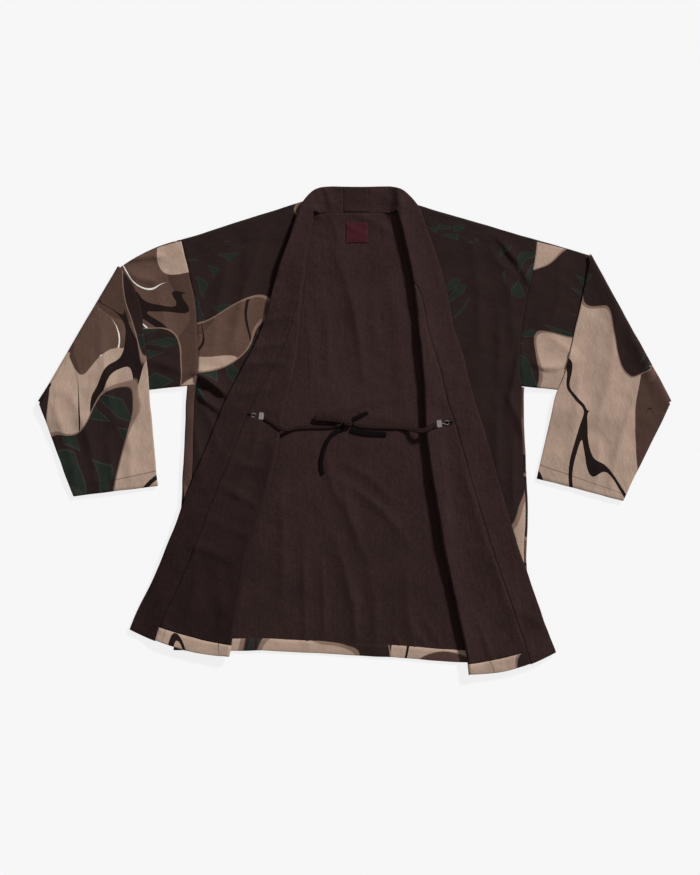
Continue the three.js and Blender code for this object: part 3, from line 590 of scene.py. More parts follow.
class Nodes:
    """A material's node tree, with one short way to add a node."""

    MAIN_SETTING = {
        "Attribute": "attribute_name",
        "MapRange": "interpolation_type",
        "Math": "operation",
        "Mix": "data_type",
        "TexVoronoi": "voronoi_dimensions",
        "VectorMath": "operation",
        "VectorRotate": "rotation_type",
    }

    def __init__(self, name: str) -> None:
        """Starts a new material of that name."""
        self.material = bpy.data.materials.new(name)
        self.material.use_nodes = True
        self.tree = self.material.node_tree
        self.shader = self.tree.nodes["Principled BSDF"]

    def add(self, kind: str, *values: Value, output: int | str = 0, **named: Value) -> Socket:
        """Adds a node with its settings and links.

        Args:
            kind: its type without "ShaderNode" and, after a dot, its main setting, as in "Math.ADD".
            *values: values or sockets for the inputs that it shows, in their order.
            output: which of the outputs that it shows is wanted, or the output's name.
            **named: values or sockets for inputs by name.

        Returns:
            The wanted output socket.
        """
        kind, _, setting = kind.partition(".")
        node = self.tree.nodes.new("ShaderNode" + kind)
        if setting:
            setattr(node, self.MAIN_SETTING[kind], setting)
        for socket, value in zip([socket for socket in node.inputs if socket.enabled], values):
            self._feed(socket, value)
        for name, value in named.items():
            self._feed(node.inputs[name], value)
        if isinstance(output, str):
            return node.outputs[output]
        return [socket for socket in node.outputs if socket.enabled][output]

    def finish(self, values: dict[str, Value]) -> bpy.types.Material:
        """Feeds the shader's inputs by name, and gives the material."""
        for name, value in values.items():
            self._feed(self.shader.inputs[name], value)
        return self.material

    def _feed(self, socket: Socket, value: Value) -> None:
        """Links a socket, or sets its value."""
        if isinstance(value, bpy.types.NodeSocket):
            self.tree.links.new(value, socket)
        else:
            socket.default_value = value


class Ink(Enum):
    """Colours of the printed cloth."""

    GROUND = "#271c1a"
    DARK = "#1e1513"
    MID = "#49362f"
    CLAY = "#584239"
    EDGE = "#7b6357"
    TAN = "#a58d7d"
    LEAF = "#1f2620"
    LEAF_RIM = "#2e2f2a"
    PALE = "#e2ded9"

    @property
    def linear(self) -> tuple[float, float, float, float]:
        """The ink in linear light."""
        return linear(self.value)


@dataclass(frozen=True)
class Weave:
    """What all the matt cloths share: a plain weave, fine crumple and a faint nap.

    The weave's pitch is in millimetres, and coarser than the real one so that it shows in the render.
    """

    pitch: float
    rough: float
    nap: str = "#8c6f64"

    def dress(self, nodes: Nodes, where: Socket, colour: Socket, under: Socket | None = None) -> bpy.types.Material:
        """Finishes a cloth.

        Args:
            nodes: the cloth's node tree.
            where: where on the cloth, in metres.
            colour: its colour.
            under: a bump that lies below the weave's own.

        Returns:
            The finished material.
        """
        add = nodes.add
        below = {} if under is None else {"Normal": under}
        folds = add("TexNoise", where, per_metre(33.333), 5, 0.6)
        crumple = add("Bump", Height=folds, Distance=2.4 * MM, Strength=0.8, **below)
        yarns = add("TexNoise", where, per_metre(4.762), 3, 0.6)
        slight = add("Bump", Height=yarns, Distance=0.4 * MM, Strength=0.7, Normal=crumple)
        rate = 2 * math.pi / (self.pitch * MM)
        along, across, _ = add("SeparateXYZ", where).node.outputs
        over = add("Math.SINE", add("Math.MULTIPLY", along, rate))
        beside = add("Math.SINE", add("Math.MULTIPLY", across, rate))
        threads = add("Math.MULTIPLY", over, beside)
        weave = add("Bump", Height=threads, Distance=0.08 * MM, Strength=0.6, Normal=slight)
        patches = add("TexNoise", where, per_metre(11.11))
        return nodes.finish({
            "Base Color": colour,
            "Normal": weave,
            "Roughness": add("Math.MULTIPLY_ADD", patches, 0.12, self.rough - 0.06),
            "Sheen Weight": 0.03,
            "Sheen Roughness": 0.6,
            "Sheen Tint": linear(self.nap),
            "Specular IOR Level": 0.08,
        })


@dataclass(frozen=True)
class PrintedCotton:
    """Matt printed cotton: drifting clouds and leaf sprays in flat inks with crisp outlines on dark brown.

    The fields say how one piece is cut from the printed length: where, how many clouds it has and how tan
    they are, how far down it turns paler towards the hem, and how broad its pale strokes are.
    """

    name: str
    shift: tuple[float, float, float]
    clouds: float = 0.0
    tan: float = 0.0
    hem: tuple[float, float] = (50.0, 51.0)
    hem_pale: float = 0.0
    line: float = 0.0

    CRISP: ClassVar[float] = 0.003
    WEAVE: ClassVar[Weave] = Weave(0.9, 0.88)

    def material(self) -> bpy.types.Material:
        """Builds the finish."""
        nodes = Nodes(self.name)
        add = nodes.add
        cloth = add("Attribute.cloth", output="Vector")
        _, down, from_cuff = add("SeparateXYZ", cloth).node.outputs
        at = add("VectorMath.MULTIPLY_ADD", cloth, (1, 1, 0), self.shift)
        drift = add("TexNoise", at, per_metre(181.818), 1, output="Color")
        warped = add("VectorMath.MULTIPLY_ADD", drift, (0.16, 0.16, 0.16), at)
        border = add("Math.MULTIPLY", add("MapRange.SMOOTHSTEP", down, *self.hem), self.hem_pale)

        cloud = add("TexNoise", warped, per_metre(227.273), 1, 0.35)
        value = add("Math.ADD", add("Math.ADD", cloud, self.clouds), border)
        edge = self._mass(nodes, value, 0.496)
        inner = self._mass(nodes, value, 0.503)
        second = add("TexNoise", add("VectorMath.ADD", warped, (3.1, 1.7, 0.4)), per_metre(153.846), 1, 0.3)
        third = add("TexNoise", add("VectorMath.ADD", warped, (6.9, 4.1, 1.3)), per_metre(250), 1, 0.35)
        tan_value = add("Math.ADD", add("Math.ADD", third, self.tan), border)
        tan = add("Math.MULTIPLY", inner, self._mass(nodes, tan_value, 0.5))

        colour = add("Mix.RGBA", edge, Ink.GROUND.linear, Ink.EDGE.linear)
        brown = add("Mix.RGBA", self._mass(nodes, second, 0.5), Ink.MID.linear, Ink.CLAY.linear)
        colour = add("Mix.RGBA", inner, colour, brown)
        colour = add("Mix.RGBA", tan, colour, Ink.TAN.linear)
        colour = self._strokes(nodes, warped, second, (inner, tan), colour)
        colour = self._leaves(nodes, warped, edge, colour)
        colour = self._heather(nodes, at, colour)
        off_hem = add("Math.ABSOLUTE", add("Math.SUBTRACT", from_cuff, 11 * MM))
        stitches = add("Math.SUBTRACT", 1, add("MapRange.SMOOTHSTEP", off_hem, 0.2 * MM, 0.8 * MM))
        colour = add("Mix.RGBA", add("Math.MULTIPLY", stitches, 0.45), colour, Ink.DARK.linear)
        return self.WEAVE.dress(nodes, at, colour)

    def _mass(self, nodes: Nodes, value: Socket, start: float) -> Socket:
        """A flat mass of ink where a value is above its start."""
        return nodes.add("MapRange.SMOOTHSTEP", value, start, start + self.CRISP)

    def _strokes(
        self, nodes: Nodes, where: Socket, breadth: Socket, on: tuple[Socket, Socket], colour: Socket
    ) -> Socket:
        """Draws thin strokes that swell and taper over the clouds.

        Args:
            nodes: the cloth's node tree.
            where: where on the print, in metres.
            breadth: a slow value that says where the strokes swell.
            on: the clouds and the tan ones of them; pale strokes keep off the tan.
            colour: the colour so far.

        Returns:
            The colour with the strokes.
        """
        add = nodes.add
        clouds, tan = on
        drawn = add("VectorMath.MULTIPLY_ADD", where, (1.5, 0.6, 1), (7.7, 2.3, 1.9))
        stroke = add("TexNoise", drawn, per_metre(117.647), 0.6, 0.3)
        rows = (
            (0.5, (0.42, 0.62), 0.022, clouds, Ink.DARK),
            (0.44, (0.5, 0.62), self.line, add("Math.SUBTRACT", clouds, tan), Ink.PALE),
        )
        for middle, swell, width, room, ink in rows:
            off = add("Math.ABSOLUTE", add("Math.SUBTRACT", stroke, middle))
            half = add("Math.MULTIPLY", add("MapRange.SMOOTHSTEP", breadth, *swell), width)
            inked = add("Math.MULTIPLY", add("Math.LESS_THAN", off, half), room)
            colour = add("Mix.RGBA", inked, colour, ink.linear)
        return colour

    def _leaves(self, nodes: Nodes, where: Socket, clouds: Socket, colour: Socket) -> Socket:
        """Prints sprays of deep green pointed leaves on the dark ground, with thin paler outlines.

        Args:
            nodes: the cloth's node tree.
            where: where on the print, in metres.
            clouds: where the clouds are, which the leaves keep off.
            colour: the colour so far.

        Returns:
            The colour with the leaves.
        """
        add = nodes.add
        slanted = add("VectorRotate.Z_AXIS", where, Angle=0.7)
        cells = add("VectorMath.MULTIPLY", slanted, (per_metre(31.25), per_metre(100), 0))
        near = add("TexVoronoi.2D", cells, output="Position", Scale=1.0, Randomness=0.7)
        across, along, _ = add("SeparateXYZ", add("VectorMath.SUBTRACT", cells, near)).node.outputs
        taper = add("Math.SUBTRACT", 0.34, add("Math.MULTIPLY", add("Math.ABSOLUTE", along), 0.78))
        inside = add("Math.SUBTRACT", taper, add("Math.ABSOLUTE", across))
        spread = add("TexNoise", add("VectorMath.ADD", where, (5.0, 9.0, 2.0)), per_metre(222.222), 1)
        spray = add("MapRange.SMOOTHSTEP", spread, 0.535, 0.555)
        room = add("Math.MULTIPLY", spray, add("Math.SUBTRACT", 1, clouds))
        for start, ink in ((0.0, Ink.LEAF_RIM), (0.045, Ink.LEAF)):
            leaf = add("MapRange.SMOOTHSTEP", inside, start, start + 4 * self.CRISP)
            colour = add("Mix.RGBA", add("Math.MULTIPLY", leaf, room), colour, ink.linear)
        return colour

    @staticmethod
    def _heather(nodes: Nodes, where: Socket, colour: Socket) -> Socket:
        """Lets uneven yarns take the ink unevenly: short flecks both ways, and slow washed patches."""
        add = nodes.add
        worn = add("TexNoise", where, per_metre(45.455), 4, 0.6)
        warp = add("TexNoise", add("VectorMath.MULTIPLY", where, (1, 0.09, 1)), per_metre(1.6129), 3, 0.65)
        weft = add("TexNoise", add("VectorMath.MULTIPLY", where, (0.09, 1, 1)), per_metre(1.6129), 3, 0.65)
        flecks = add("Math.MULTIPLY", add("Math.ADD", warp, weft), 0.42)
        tone = add("Math.ADD", add("Math.MULTIPLY", worn, 0.42), flecks)
        return add("HueSaturation", Value=add("Math.ADD", tone, 0.37), Color=colour)


@dataclass(frozen=True)
class SlubCotton:
    """Plain dark-brown slub cotton: uneven yarns both ways give it a fine dry grain.

    The fields say how one piece has worn: its tone, its tone at the hem, and how its seam shows; on the wearer's
    right front and band the lower tone and the darkening towards the hem are painted shade, where the flap slopes
    away from the light.
    """

    name: str
    tone: float
    hem_tone: float = 1.0
    seam: float = 0.4

    WEAVE: ClassVar[Weave] = Weave(1.0, 0.9)

    def material(self) -> bpy.types.Material:
        """Builds the finish."""
        nodes = Nodes(self.name)
        add = nodes.add
        cloth = add("Attribute.cloth", output="Vector")
        _, down, _ = add("SeparateXYZ", cloth).node.outputs
        shift = (self.tone * 9, self.tone * 5, self.tone)
        at = add("VectorMath.MULTIPLY_ADD", cloth, (1, 1, 0), shift)
        rows = (
            ((1, 0.14, 1), 1.0526, 3, 0.75, 0.42),
            ((1, 0.05, 1), 2.381, 2, 0.6, 0.16),
            ((0.14, 1, 1), 1.1111, 3, 0.75, 0.42),
        )
        mixed = 0.0
        for stretch, size, detail, rough, share in rows:
            yarn = add("TexNoise", add("VectorMath.MULTIPLY", at, stretch), per_metre(size), detail, rough)
            mixed = add("Math.ADD", mixed, add("Math.MULTIPLY", yarn, share))
        grain = add("MapRange.SMOOTHSTEP", mixed, 0.38, 0.62)
        colour = add("Mix.RGBA", grain, linear("#261a18"), linear("#372725"))
        cloudy = add("TexNoise", at, per_metre(71.43), 4, 0.6)
        value = add("Math.MULTIPLY_ADD", cloudy, 0.5, self.tone - 0.05)
        # Darker towards the hem; on the wearer's right front and band this is painted shade
        fall = add("Math.MULTIPLY_ADD", add("MapRange.SMOOTHSTEP", down, 0.2, 0.72), self.hem_tone - 1, 1)
        colour = add("HueSaturation", Value=add("Math.MULTIPLY", value, fall), Color=colour)
        return self._sewn(nodes, cloth, at, colour)

    def _sewn(self, nodes: Nodes, cloth: Socket, at: Socket, colour: Socket) -> bpy.types.Material:
        """Darkens the seam's line and puckers the cloth beside it.

        Args:
            nodes: the cloth's node tree.
            cloth: where on the piece, whose third value is the distance from the seam, in metres.
            at: where on the length that it was cut from.
            colour: the colour so far.

        Returns:
            The finished material.
        """
        add = nodes.add
        away = add("SeparateXYZ", cloth).node.outputs[2]
        groove = add("Math.SUBTRACT", 1, add("MapRange.SMOOTHSTEP", away, 0.3 * MM, 1.7 * MM))
        colour = add("Mix.RGBA", add("Math.MULTIPLY", groove, self.seam), colour, linear("#120c0b"))
        near = add("Math.SUBTRACT", 1, add("MapRange.SMOOTHSTEP", away, 2 * MM, 17 * MM))
        gathers = add("TexNoise", add("VectorMath.MULTIPLY", cloth, (0.35, 1.6, 0)), per_metre(11.11))
        pucker = add("Math.MULTIPLY", gathers, near)
        height = add("Math.ADD", pucker, add("MapRange.SMOOTHSTEP", away, 0, 3 * MM))
        under = add("Bump", Height=height, Distance=1.1 * MM, Strength=0.8)
        return self.WEAVE.dress(nodes, at, colour, under)


@dataclass(frozen=True)
class SatinTape:
    """Maroon satin-woven tape: close fine ribs across it, a little sheen, and a thin plain border."""

    name: str = "satin_woven_maroon"
    half_width: float = 18.0
    rib: float = 0.6

    def material(self) -> bpy.types.Material:
        """Builds the finish."""
        nodes = Nodes(self.name)
        add = nodes.add
        cloth = add("Attribute.cloth", output="Vector")
        across, along, _ = add("SeparateXYZ", cloth).node.outputs
        ribs = add("Math.SINE", add("Math.MULTIPLY", along, 2 * math.pi / (self.rib * MM)))
        edge = add("Math.SUBTRACT", self.half_width * MM, add("Math.ABSOLUTE", across))
        off_border = add("Math.ABSOLUTE", add("Math.SUBTRACT", edge, 2.2 * MM))
        border = add("Math.LESS_THAN", off_border, 0.35 * MM)
        uneven = add("TexNoise", cloth, per_metre(4.1667), 3)
        tone = add("Mix.RGBA", uneven, linear("#310c14"), linear("#45141e"))
        return nodes.finish({
            "Base Color": add("Mix.RGBA", add("Math.MULTIPLY", border, 0.5), tone, linear("#5a2430")),
            "Roughness": 0.62,
            "Specular IOR Level": 0.12,
            "Normal": add("Bump", Height=ribs, Distance=0.08 * MM, Strength=0.6),
        })


@dataclass(frozen=True)
class BraidedCotton:
    """Flat braided cord: crossing diagonal strands, with painted shade making the gaps between them darker."""

    name: str
    light: str
    dark: str
    pitch: float = 2.2

    def material(self) -> bpy.types.Material:
        """Builds the finish."""
        nodes = Nodes(self.name)
        add = nodes.add
        cloth = add("Attribute.cloth", output="Vector")
        across, along, _ = add("SeparateXYZ", cloth).node.outputs
        rate = 2 * math.pi / (self.pitch * MM)
        plus = add("Math.SINE", add("Math.MULTIPLY", add("Math.ADD", across, along), rate))
        minus = add("Math.SINE", add("Math.MULTIPLY", add("Math.SUBTRACT", across, along), rate))
        strands = add("Math.MULTIPLY", plus, minus)
        # painted shade: the gaps between the strands are coloured darker than the strands
        raised = add("MapRange.SMOOTHSTEP", strands, -0.6, 0.7)
        colour = add("Mix.RGBA", raised, linear(self.dark), linear(self.light))
        tone = add("Math.MULTIPLY_ADD", add("TexNoise", cloth, per_metre(3.3333), 3), 0.5, 0.75)
        return nodes.finish({
            "Base Color": add("HueSaturation", Value=tone, Color=colour),
            "Roughness": 0.85,
            "Specular IOR Level": 0.08,
            "Normal": add("Bump", Height=strands, Distance=0.35 * MM, Strength=0.8),
        })


@dataclass(frozen=True)
class NickelPlate:
    """Bright nickel-plated stamped steel: clean highlights, which fine rubbing softens in patches."""

    name: str = "nickel_plated_steel"

    def material(self) -> bpy.types.Material:
        """Builds the finish."""
        nodes = Nodes(self.name)
        add = nodes.add
        where = add("TexCoord", output="Object")
        rub = add("TexNoise", add("VectorMath.MULTIPLY", where, (1, 0.3, 1)), per_metre(1.1111), 3, 0.6)
        dents = add("TexNoise", where, per_metre(1.4286))
        return nodes.finish({
            "Base Color": add("Mix.RGBA", rub, linear("#b8b6b0"), linear("#e4e2dc")),
            "Metallic": 1.0,
            "Roughness": add("Math.MULTIPLY_ADD", rub, 0.22, 0.16),
            "Normal": add("Bump", Height=dents, Distance=0.06 * MM, Strength=0.5),
        })


@dataclass(frozen=True)
class PalePaper:
    """Plain pale paper that glows a little, so that the jacket lies on the photo's near-white."""

    name: str = "lit_pale_paper"
    grey: float = 0.1
    glow: float = 0.83

    def material(self) -> bpy.types.Material:
        """Builds the finish."""
        return Nodes(self.name).finish({
            "Base Color": (self.grey, self.grey, self.grey, 1),
            "Roughness": 0.95,
            "Specular IOR Level": 0.0,
            "Emission Color": (1, 1, 1, 1),
            "Emission Strength": self.glow,
        })


@dataclass
class Piece:
    """A finished piece: its mesh, what it stands for, and its finish."""

    mesh: bpy.types.Object
    node: str
    slot: str
    finish: bpy.types.Material

    def place(self) -> bpy.types.Object:
        """Gives the mesh its finish and joins it to the part's body."""
        self.mesh.data.materials.append(self.finish)
        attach(self.mesh, "root")
        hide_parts(self.node)
        LOG.info("%s stands for %s", self.mesh.name, self.node)
        return self.mesh

    def lay(self, held: str, rests_on: Sequence[str] = ()) -> None:
        """Args:
            held: how it is held, such as "laid" or "folded"; not used.
            rests_on: the pieces below it; not used.
        """
        self.place()


@dataclass
class Front:
    """One front: its outer cloth turned round shoulder and hem, and its lining."""

    side: Side
    shell_finish: bpy.types.Material
    lining_finish: bpy.types.Material

    def columns(self, cloth: FrontCloth, inset: float) -> Array:
        """Cloth distances across the front at each station."""
        run = cloth.side_run - inset
        lower = -run * np.linspace(1, 0, 46)[None, :-1]
        roll = np.linspace(0, HALF_TURN, 13)[None, :] + 0 * run
        end = cloth.seam
        relax = np.linspace(0, 1, 38)[None, 1:] ** 1.3
        rest = HALF_TURN + relax * np.maximum(end - HALF_TURN, 0)
        every = np.concatenate([lower, roll, rest], axis=1)
        spare = np.arange(every.shape[1])[::-1][None, :] * 0.02
        return np.minimum(every, end - spare)

    def stations(self) -> Array:
        """Stations down the front, with more where it turns."""
        last = len(self.side.front) - 1
        even = np.linspace(0.25, last - (HEM_TURN + GAP) / HEM_RUN, 190)
        near_seam = SEAM_STATION + np.linspace(-CROSSING, CROSSING, 13)
        return np.unique(np.concatenate([even, near_seam]))

    def shell(self) -> Piece:
        """The outer cloth, round the shoulder, down the front and up inside the hem."""
        last = len(self.side.front) - 1
        rows = [
            tuple(((EDGE_RADIUS - out) / SHOULDER_RUN, STACK - EDGE_RADIUS + up) for out, up in pair)
            for pair in half_turn(EDGE_RADIUS, 8)
        ]
        rows += [((v, STACK), (v, STACK - SHELL)) for v in self.stations()]
        rows += [
            tuple((last - (STACK / 2 - out) / HEM_RUN, STACK / 2 + up) for out, up in pair)
            for pair in reversed(half_turn(STACK / 2, 8))
        ]
        turned = last - HEM_TURN / HEM_RUN
        rows += [((v, 0), (v, SHELL)) for v in np.linspace(last, turned, 5)[1:]]
        steps = [math.dist(a[0], b[0]) * 8 + abs(a[0][0] - b[0][0]) * 42 for a, b in zip(rows, rows[1:])]
        run = np.cumsum([0.0, *steps])
        faces = []
        for k in (0, 1):
            v = np.array([row[k][0] for row in rows], float)
            cloth = FrontCloth(self.side, False, v)
            h = np.array([row[k][1] for row in rows], float)[:, None]
            faces.append(cloth.face(self.columns(cloth, GAP), h, run))
        mesh = wall_mesh(f"front_cloth_{self.side.name}", *faces)
        return Piece(mesh, f"front_shell_{self.side.name}", "outer_cloth", self.shell_finish)

    def lining(self) -> Piece:
        """The lining, which shows where the front is turned back."""
        top = (EDGE_RADIUS + SHELL + GAP) / SHOULDER_RUN
        v = np.unique(np.concatenate([[top], self.stations()]))
        v = v[v >= top]
        cloth = FrontCloth(self.side, False, v)
        t = self.columns(cloth, 2 * SHELL)
        low = SHELL - LINING
        faces = [cloth.face(t, np.full((len(v), 1), low + k * LINING)) for k in (0, 1)]
        mesh = wall_mesh(f"front_facing_{self.side.name}", *faces)
        return Piece(mesh, f"front_lining_{self.side.name}", "lining_cloth", self.lining_finish)


@dataclass
class CollarBand:
    """The doubled band round the neck and down both fronts, in three lengths."""

    finishes: dict[str, bpy.types.Material]

    def long_band(self, side: Side) -> Piece:
        """The length on one side, from the middle of the neck to the hem.

        Args:
            side: the side.

        Returns:
            The unplaced piece.
        """
        last = len(side.whole_band()) - 1
        neck = len(side.neck) - 1
        near_seam = SEAM_STATION + neck + np.linspace(-CROSSING, CROSSING, 13)
        v = np.unique(np.concatenate([np.linspace(0, neck + 1, 30), np.linspace(neck + 1, last, 190), near_seam]))
        cloth = FrontCloth(side, True, v)
        start = GAP + np.maximum(cloth.seam, HALF_TURN * (1 - cloth.wrap))
        end = HALF_TURN + cloth.edge_run
        roll = np.maximum(np.linspace(0, HALF_TURN, 13)[None, :], start + np.arange(13)[None, :] * 0.02)
        flat = mix(roll[:, -1:], end, np.linspace(0, 0.97, 9)[None, 1:])
        tip = end - np.array([[0.7, 0.25, 0.0]])
        t = np.concatenate([roll, flat, tip], axis=1)
        inset = np.zeros(t.shape)
        inset[:, -3:] = [0.15, 0.5, 0.95]
        low = (STACK - BAND) / 2
        faces = [cloth.face(t, low + inset), cloth.face(t, low + BAND - inset)]
        mesh = wall_mesh(f"collar_{side.name}", *faces)
        return Piece(mesh, f"collar_band_{side.name}", "band_cloth", self.finishes[side.name])

    def neck_band(self) -> Piece:
        """The short length behind the neck."""
        low = (STACK - BAND) / 2
        y = np.array([NECK_SEAM_Y + GAP, *np.linspace(367, 405, 8), 406.3, 406.8, 407])
        inset = np.zeros((len(y), 1))
        inset[-3:, 0] = [0.15, 0.5, 0.95]
        x = np.linspace(NECK_RIGHT[0][0] + GAP, NECK_LEFT[0][0] - GAP, 9)[None, :]
        faces = []
        for height in (low + BAND - inset, low + inset):
            grid = np.stack([x + 0 * y[:, None], y[:, None] + 0 * x, height + 0 * x], -1)
            nought = 0 * grid[..., 0]
            ends = 2 + np.minimum(grid[..., 0] - x[0, 0], x[0, -1] - grid[..., 0])
            seam = np.minimum(grid[..., 1] - y[0], ends)
            cloth = np.stack([grid[..., 1], grid[..., 0], seam], -1)
            faces.append(Grid(grid, nought, nought, cloth))
        return Piece(wall_mesh("collar_neck", *faces), "collar_band_neck", "band_cloth", self.finishes["neck"])


@dataclass
class Back:
    """The back: its outer cloth, turned up inside the hem, and its lining."""

    shell_finish: bpy.types.Material
    lining_finish: bpy.types.Material

    def edges(self, v: Array, inset: float) -> tuple[Array, Array]:
        """The two side edges at stations v."""
        found = []
        for side in SIDES:
            seam = spline([row[4:6] for row in side.front], v)
            under_x = read(side.edge, seam[:, 1]) - side.sign * (GUSSET_UNDER + GAP)
            below = smooth((v - (ARMHOLE_STATIONS - 0.1)) / 0.3)
            x = mix(seam[:, 0], under_x, below) - side.sign * inset
            found.append(np.stack([x, seam[:, 1]], -1))
        return found[0], found[1]

    def top(self, x: Array, drop: float) -> Array:
        """Height in plan of the top edge, along both shoulders and the neck."""
        found = NECK_SEAM_Y - GAP + 14 * smooth((np.abs(x) - 50) / 10)
        for side in SIDES:
            row = side.front[0]
            line = row[5] + (row[3] - row[5]) * (x - row[4]) / (row[2] - row[4]) - drop
            out = smooth((side.sign * x - NECK_POINT_X + 1) / 2)
            found = mix(found, line, out)
        return found

    def face(self, v: Array, z: Array, inset: float, drop: float, hem: Array, across: int) -> Grid:
        """One face of the back.

        Args:
            v: the station of each row.
            z: its height.
            inset: how far it stays from the side seams.
            drop: how far it stays from the shoulder line.
            hem: how far each row stays from the hem.
            across: number of points in a row.

        Returns:
            The face, before it settles.
        """
        right, left = self.edges(v, inset)
        u = np.linspace(0, 1, across)[None, :]
        x = mix(right[:, :1], left[:, :1], u)
        y = mix(right[:, 1:], left[:, 1:], u)
        top_x = mix(right[:1, :1], left[:1, :1], u)
        rise = self.top(top_x, drop) - mix(right[:1, 1:], left[:1, 1:], u)
        fade = np.clip(1 - v / ARMHOLE_STATIONS, 0, 1)[:, None]
        last = len(FRONT_RIGHT) - 1
        y = y + rise * fade
        bottom = back_hem(x) + hem[:, None]
        near = smooth((v - (last - 2)) / 2)[:, None]
        y = mix(y, bottom, near)
        corner = smooth((np.abs(x) - 52) / 8) * (1 - smooth((np.abs(x) - 72) / 8)) * smooth((y - 350) / 12)
        grid = np.stack([x, y, z[:, None] + 3 * corner], -1)
        nought = 0 * x
        run = np.cumsum(np.concatenate([[0], np.hypot(np.diff(y[:, across // 2]), np.diff(z))]))
        seam = np.where(np.abs(x) < NECK_POINT_X, NECK_SEAM_Y - y, NO_SEAM)
        cloth = np.stack([x, run[:, None] + 0 * x, seam], -1)
        return Grid(grid, nought, nought, cloth)

    def shell(self) -> Piece:
        """The outer cloth, whose turned hem shows below the lining."""
        last = len(FRONT_RIGHT) - 1
        even = np.linspace(0, last - 0.02, 104)
        turn = half_turn(STACK / 2, 8)
        v = [even, even]
        hem = [np.full(len(even), STACK / 2)] * 2
        z = [np.zeros(len(even)), np.full(len(even), SHELL)]
        for k in (0, 1):
            hem[k] = np.concatenate([hem[k], [STACK / 2 - pair[k][0] for pair in turn], [8, 14, HEM_TURN]])
            z[k] = np.concatenate([z[k], [STACK / 2 + pair[k][1] for pair in turn], [STACK - k * SHELL] * 3])
            v[k] = np.concatenate([v[k], np.full(len(turn) + 3, float(last))])
        drop = EDGE_RADIUS + GAP
        faces = [self.face(v[k], z[k], GAP, drop, hem[k], 90) for k in (0, 1)]
        return Piece(wall_mesh("back_cloth", *faces), "back_shell", "outer_cloth", self.shell_finish)

    def lining(self) -> Piece:
        """The lining, which lies inside the outer cloth and shows between the fronts."""
        last = len(FRONT_RIGHT) - 1
        v = np.linspace(0, last, 200)
        hem = np.full(len(v), HEM_TURN + GAP)
        drop = EDGE_RADIUS + SHELL + GAP
        base = SHELL + GAP
        faces = [self.face(v, np.full(len(v), base + k * LINING), SHELL, drop, hem, 160) for k in (1, 0)]
        return Piece(wall_mesh("back_facing", *faces), "back_lining", "lining_cloth", self.lining_finish)


@dataclass
class Gusset:
    """The strip let in below an armhole, bent round the body's side."""

    side: Side
    finish: bpy.types.Material

    def make(self) -> Piece:
        """Builds the strip from the front's seam round to the back."""
        last = len(self.side.front) - 1
        v = np.linspace(ARMHOLE_STATIONS, last, 56)
        seam = spline([row[4:6] for row in self.side.front], v)
        edge = read(self.side.edge, seam[:, 1])
        sign = self.side.sign
        turn = half_turn(EDGE_RADIUS, 10)[::-1]
        faces = []
        for k in (0, 1):
            outs = [edge - sign * EDGE_RADIUS + sign * pair[k][0] for pair in turn]
            ups = [EDGE_RADIUS + pair[k][1] for pair in turn]
            tops = [mix(seam[:, 0], outs[0], f) for f in (0, 0.5)]
            unders = [mix(outs[-1], edge - sign * GUSSET_UNDER, f) for f in (0.5, 1)]
            x = np.stack([*tops, *outs, *unders], 1)
            z = np.array([FRONT_TOP - k * SHELL] * 2 + ups + [k * SHELL] * 2)[None, :] + 0 * x
            y = seam[:, 1:] + 0 * x
            grid = np.stack([x, y, z], -1)
            front = np.clip(z / FRONT_TOP, 0, 1)
            steps = [np.diff(line, axis=1, prepend=line[:, :1]) for line in (x, z)]
            across = np.cumsum(np.hypot(*steps), axis=1)
            faces.append(Grid(grid, front, 0 * x, np.stack([across, -y, NO_SEAM + 0 * x], -1)))
        mesh = wall_mesh(f"side_gusset_{self.side.name}", *faces)
        return Piece(mesh, f"gusset_{self.side.name}", "outer_cloth", self.finish)


@dataclass(frozen=True)
class SleeveRow:
    """One row round a sleeve's tube: its line in plan, the tube's height there, and how far it is turned over.

    turn is below 0 before the fold, 0 to 1 round it and 2 past it, past is the way beyond the fold, and run
    the way from the armhole.
    """

    line: Callable[[Array], Array]
    height: float
    turn: float
    past: float
    run: float


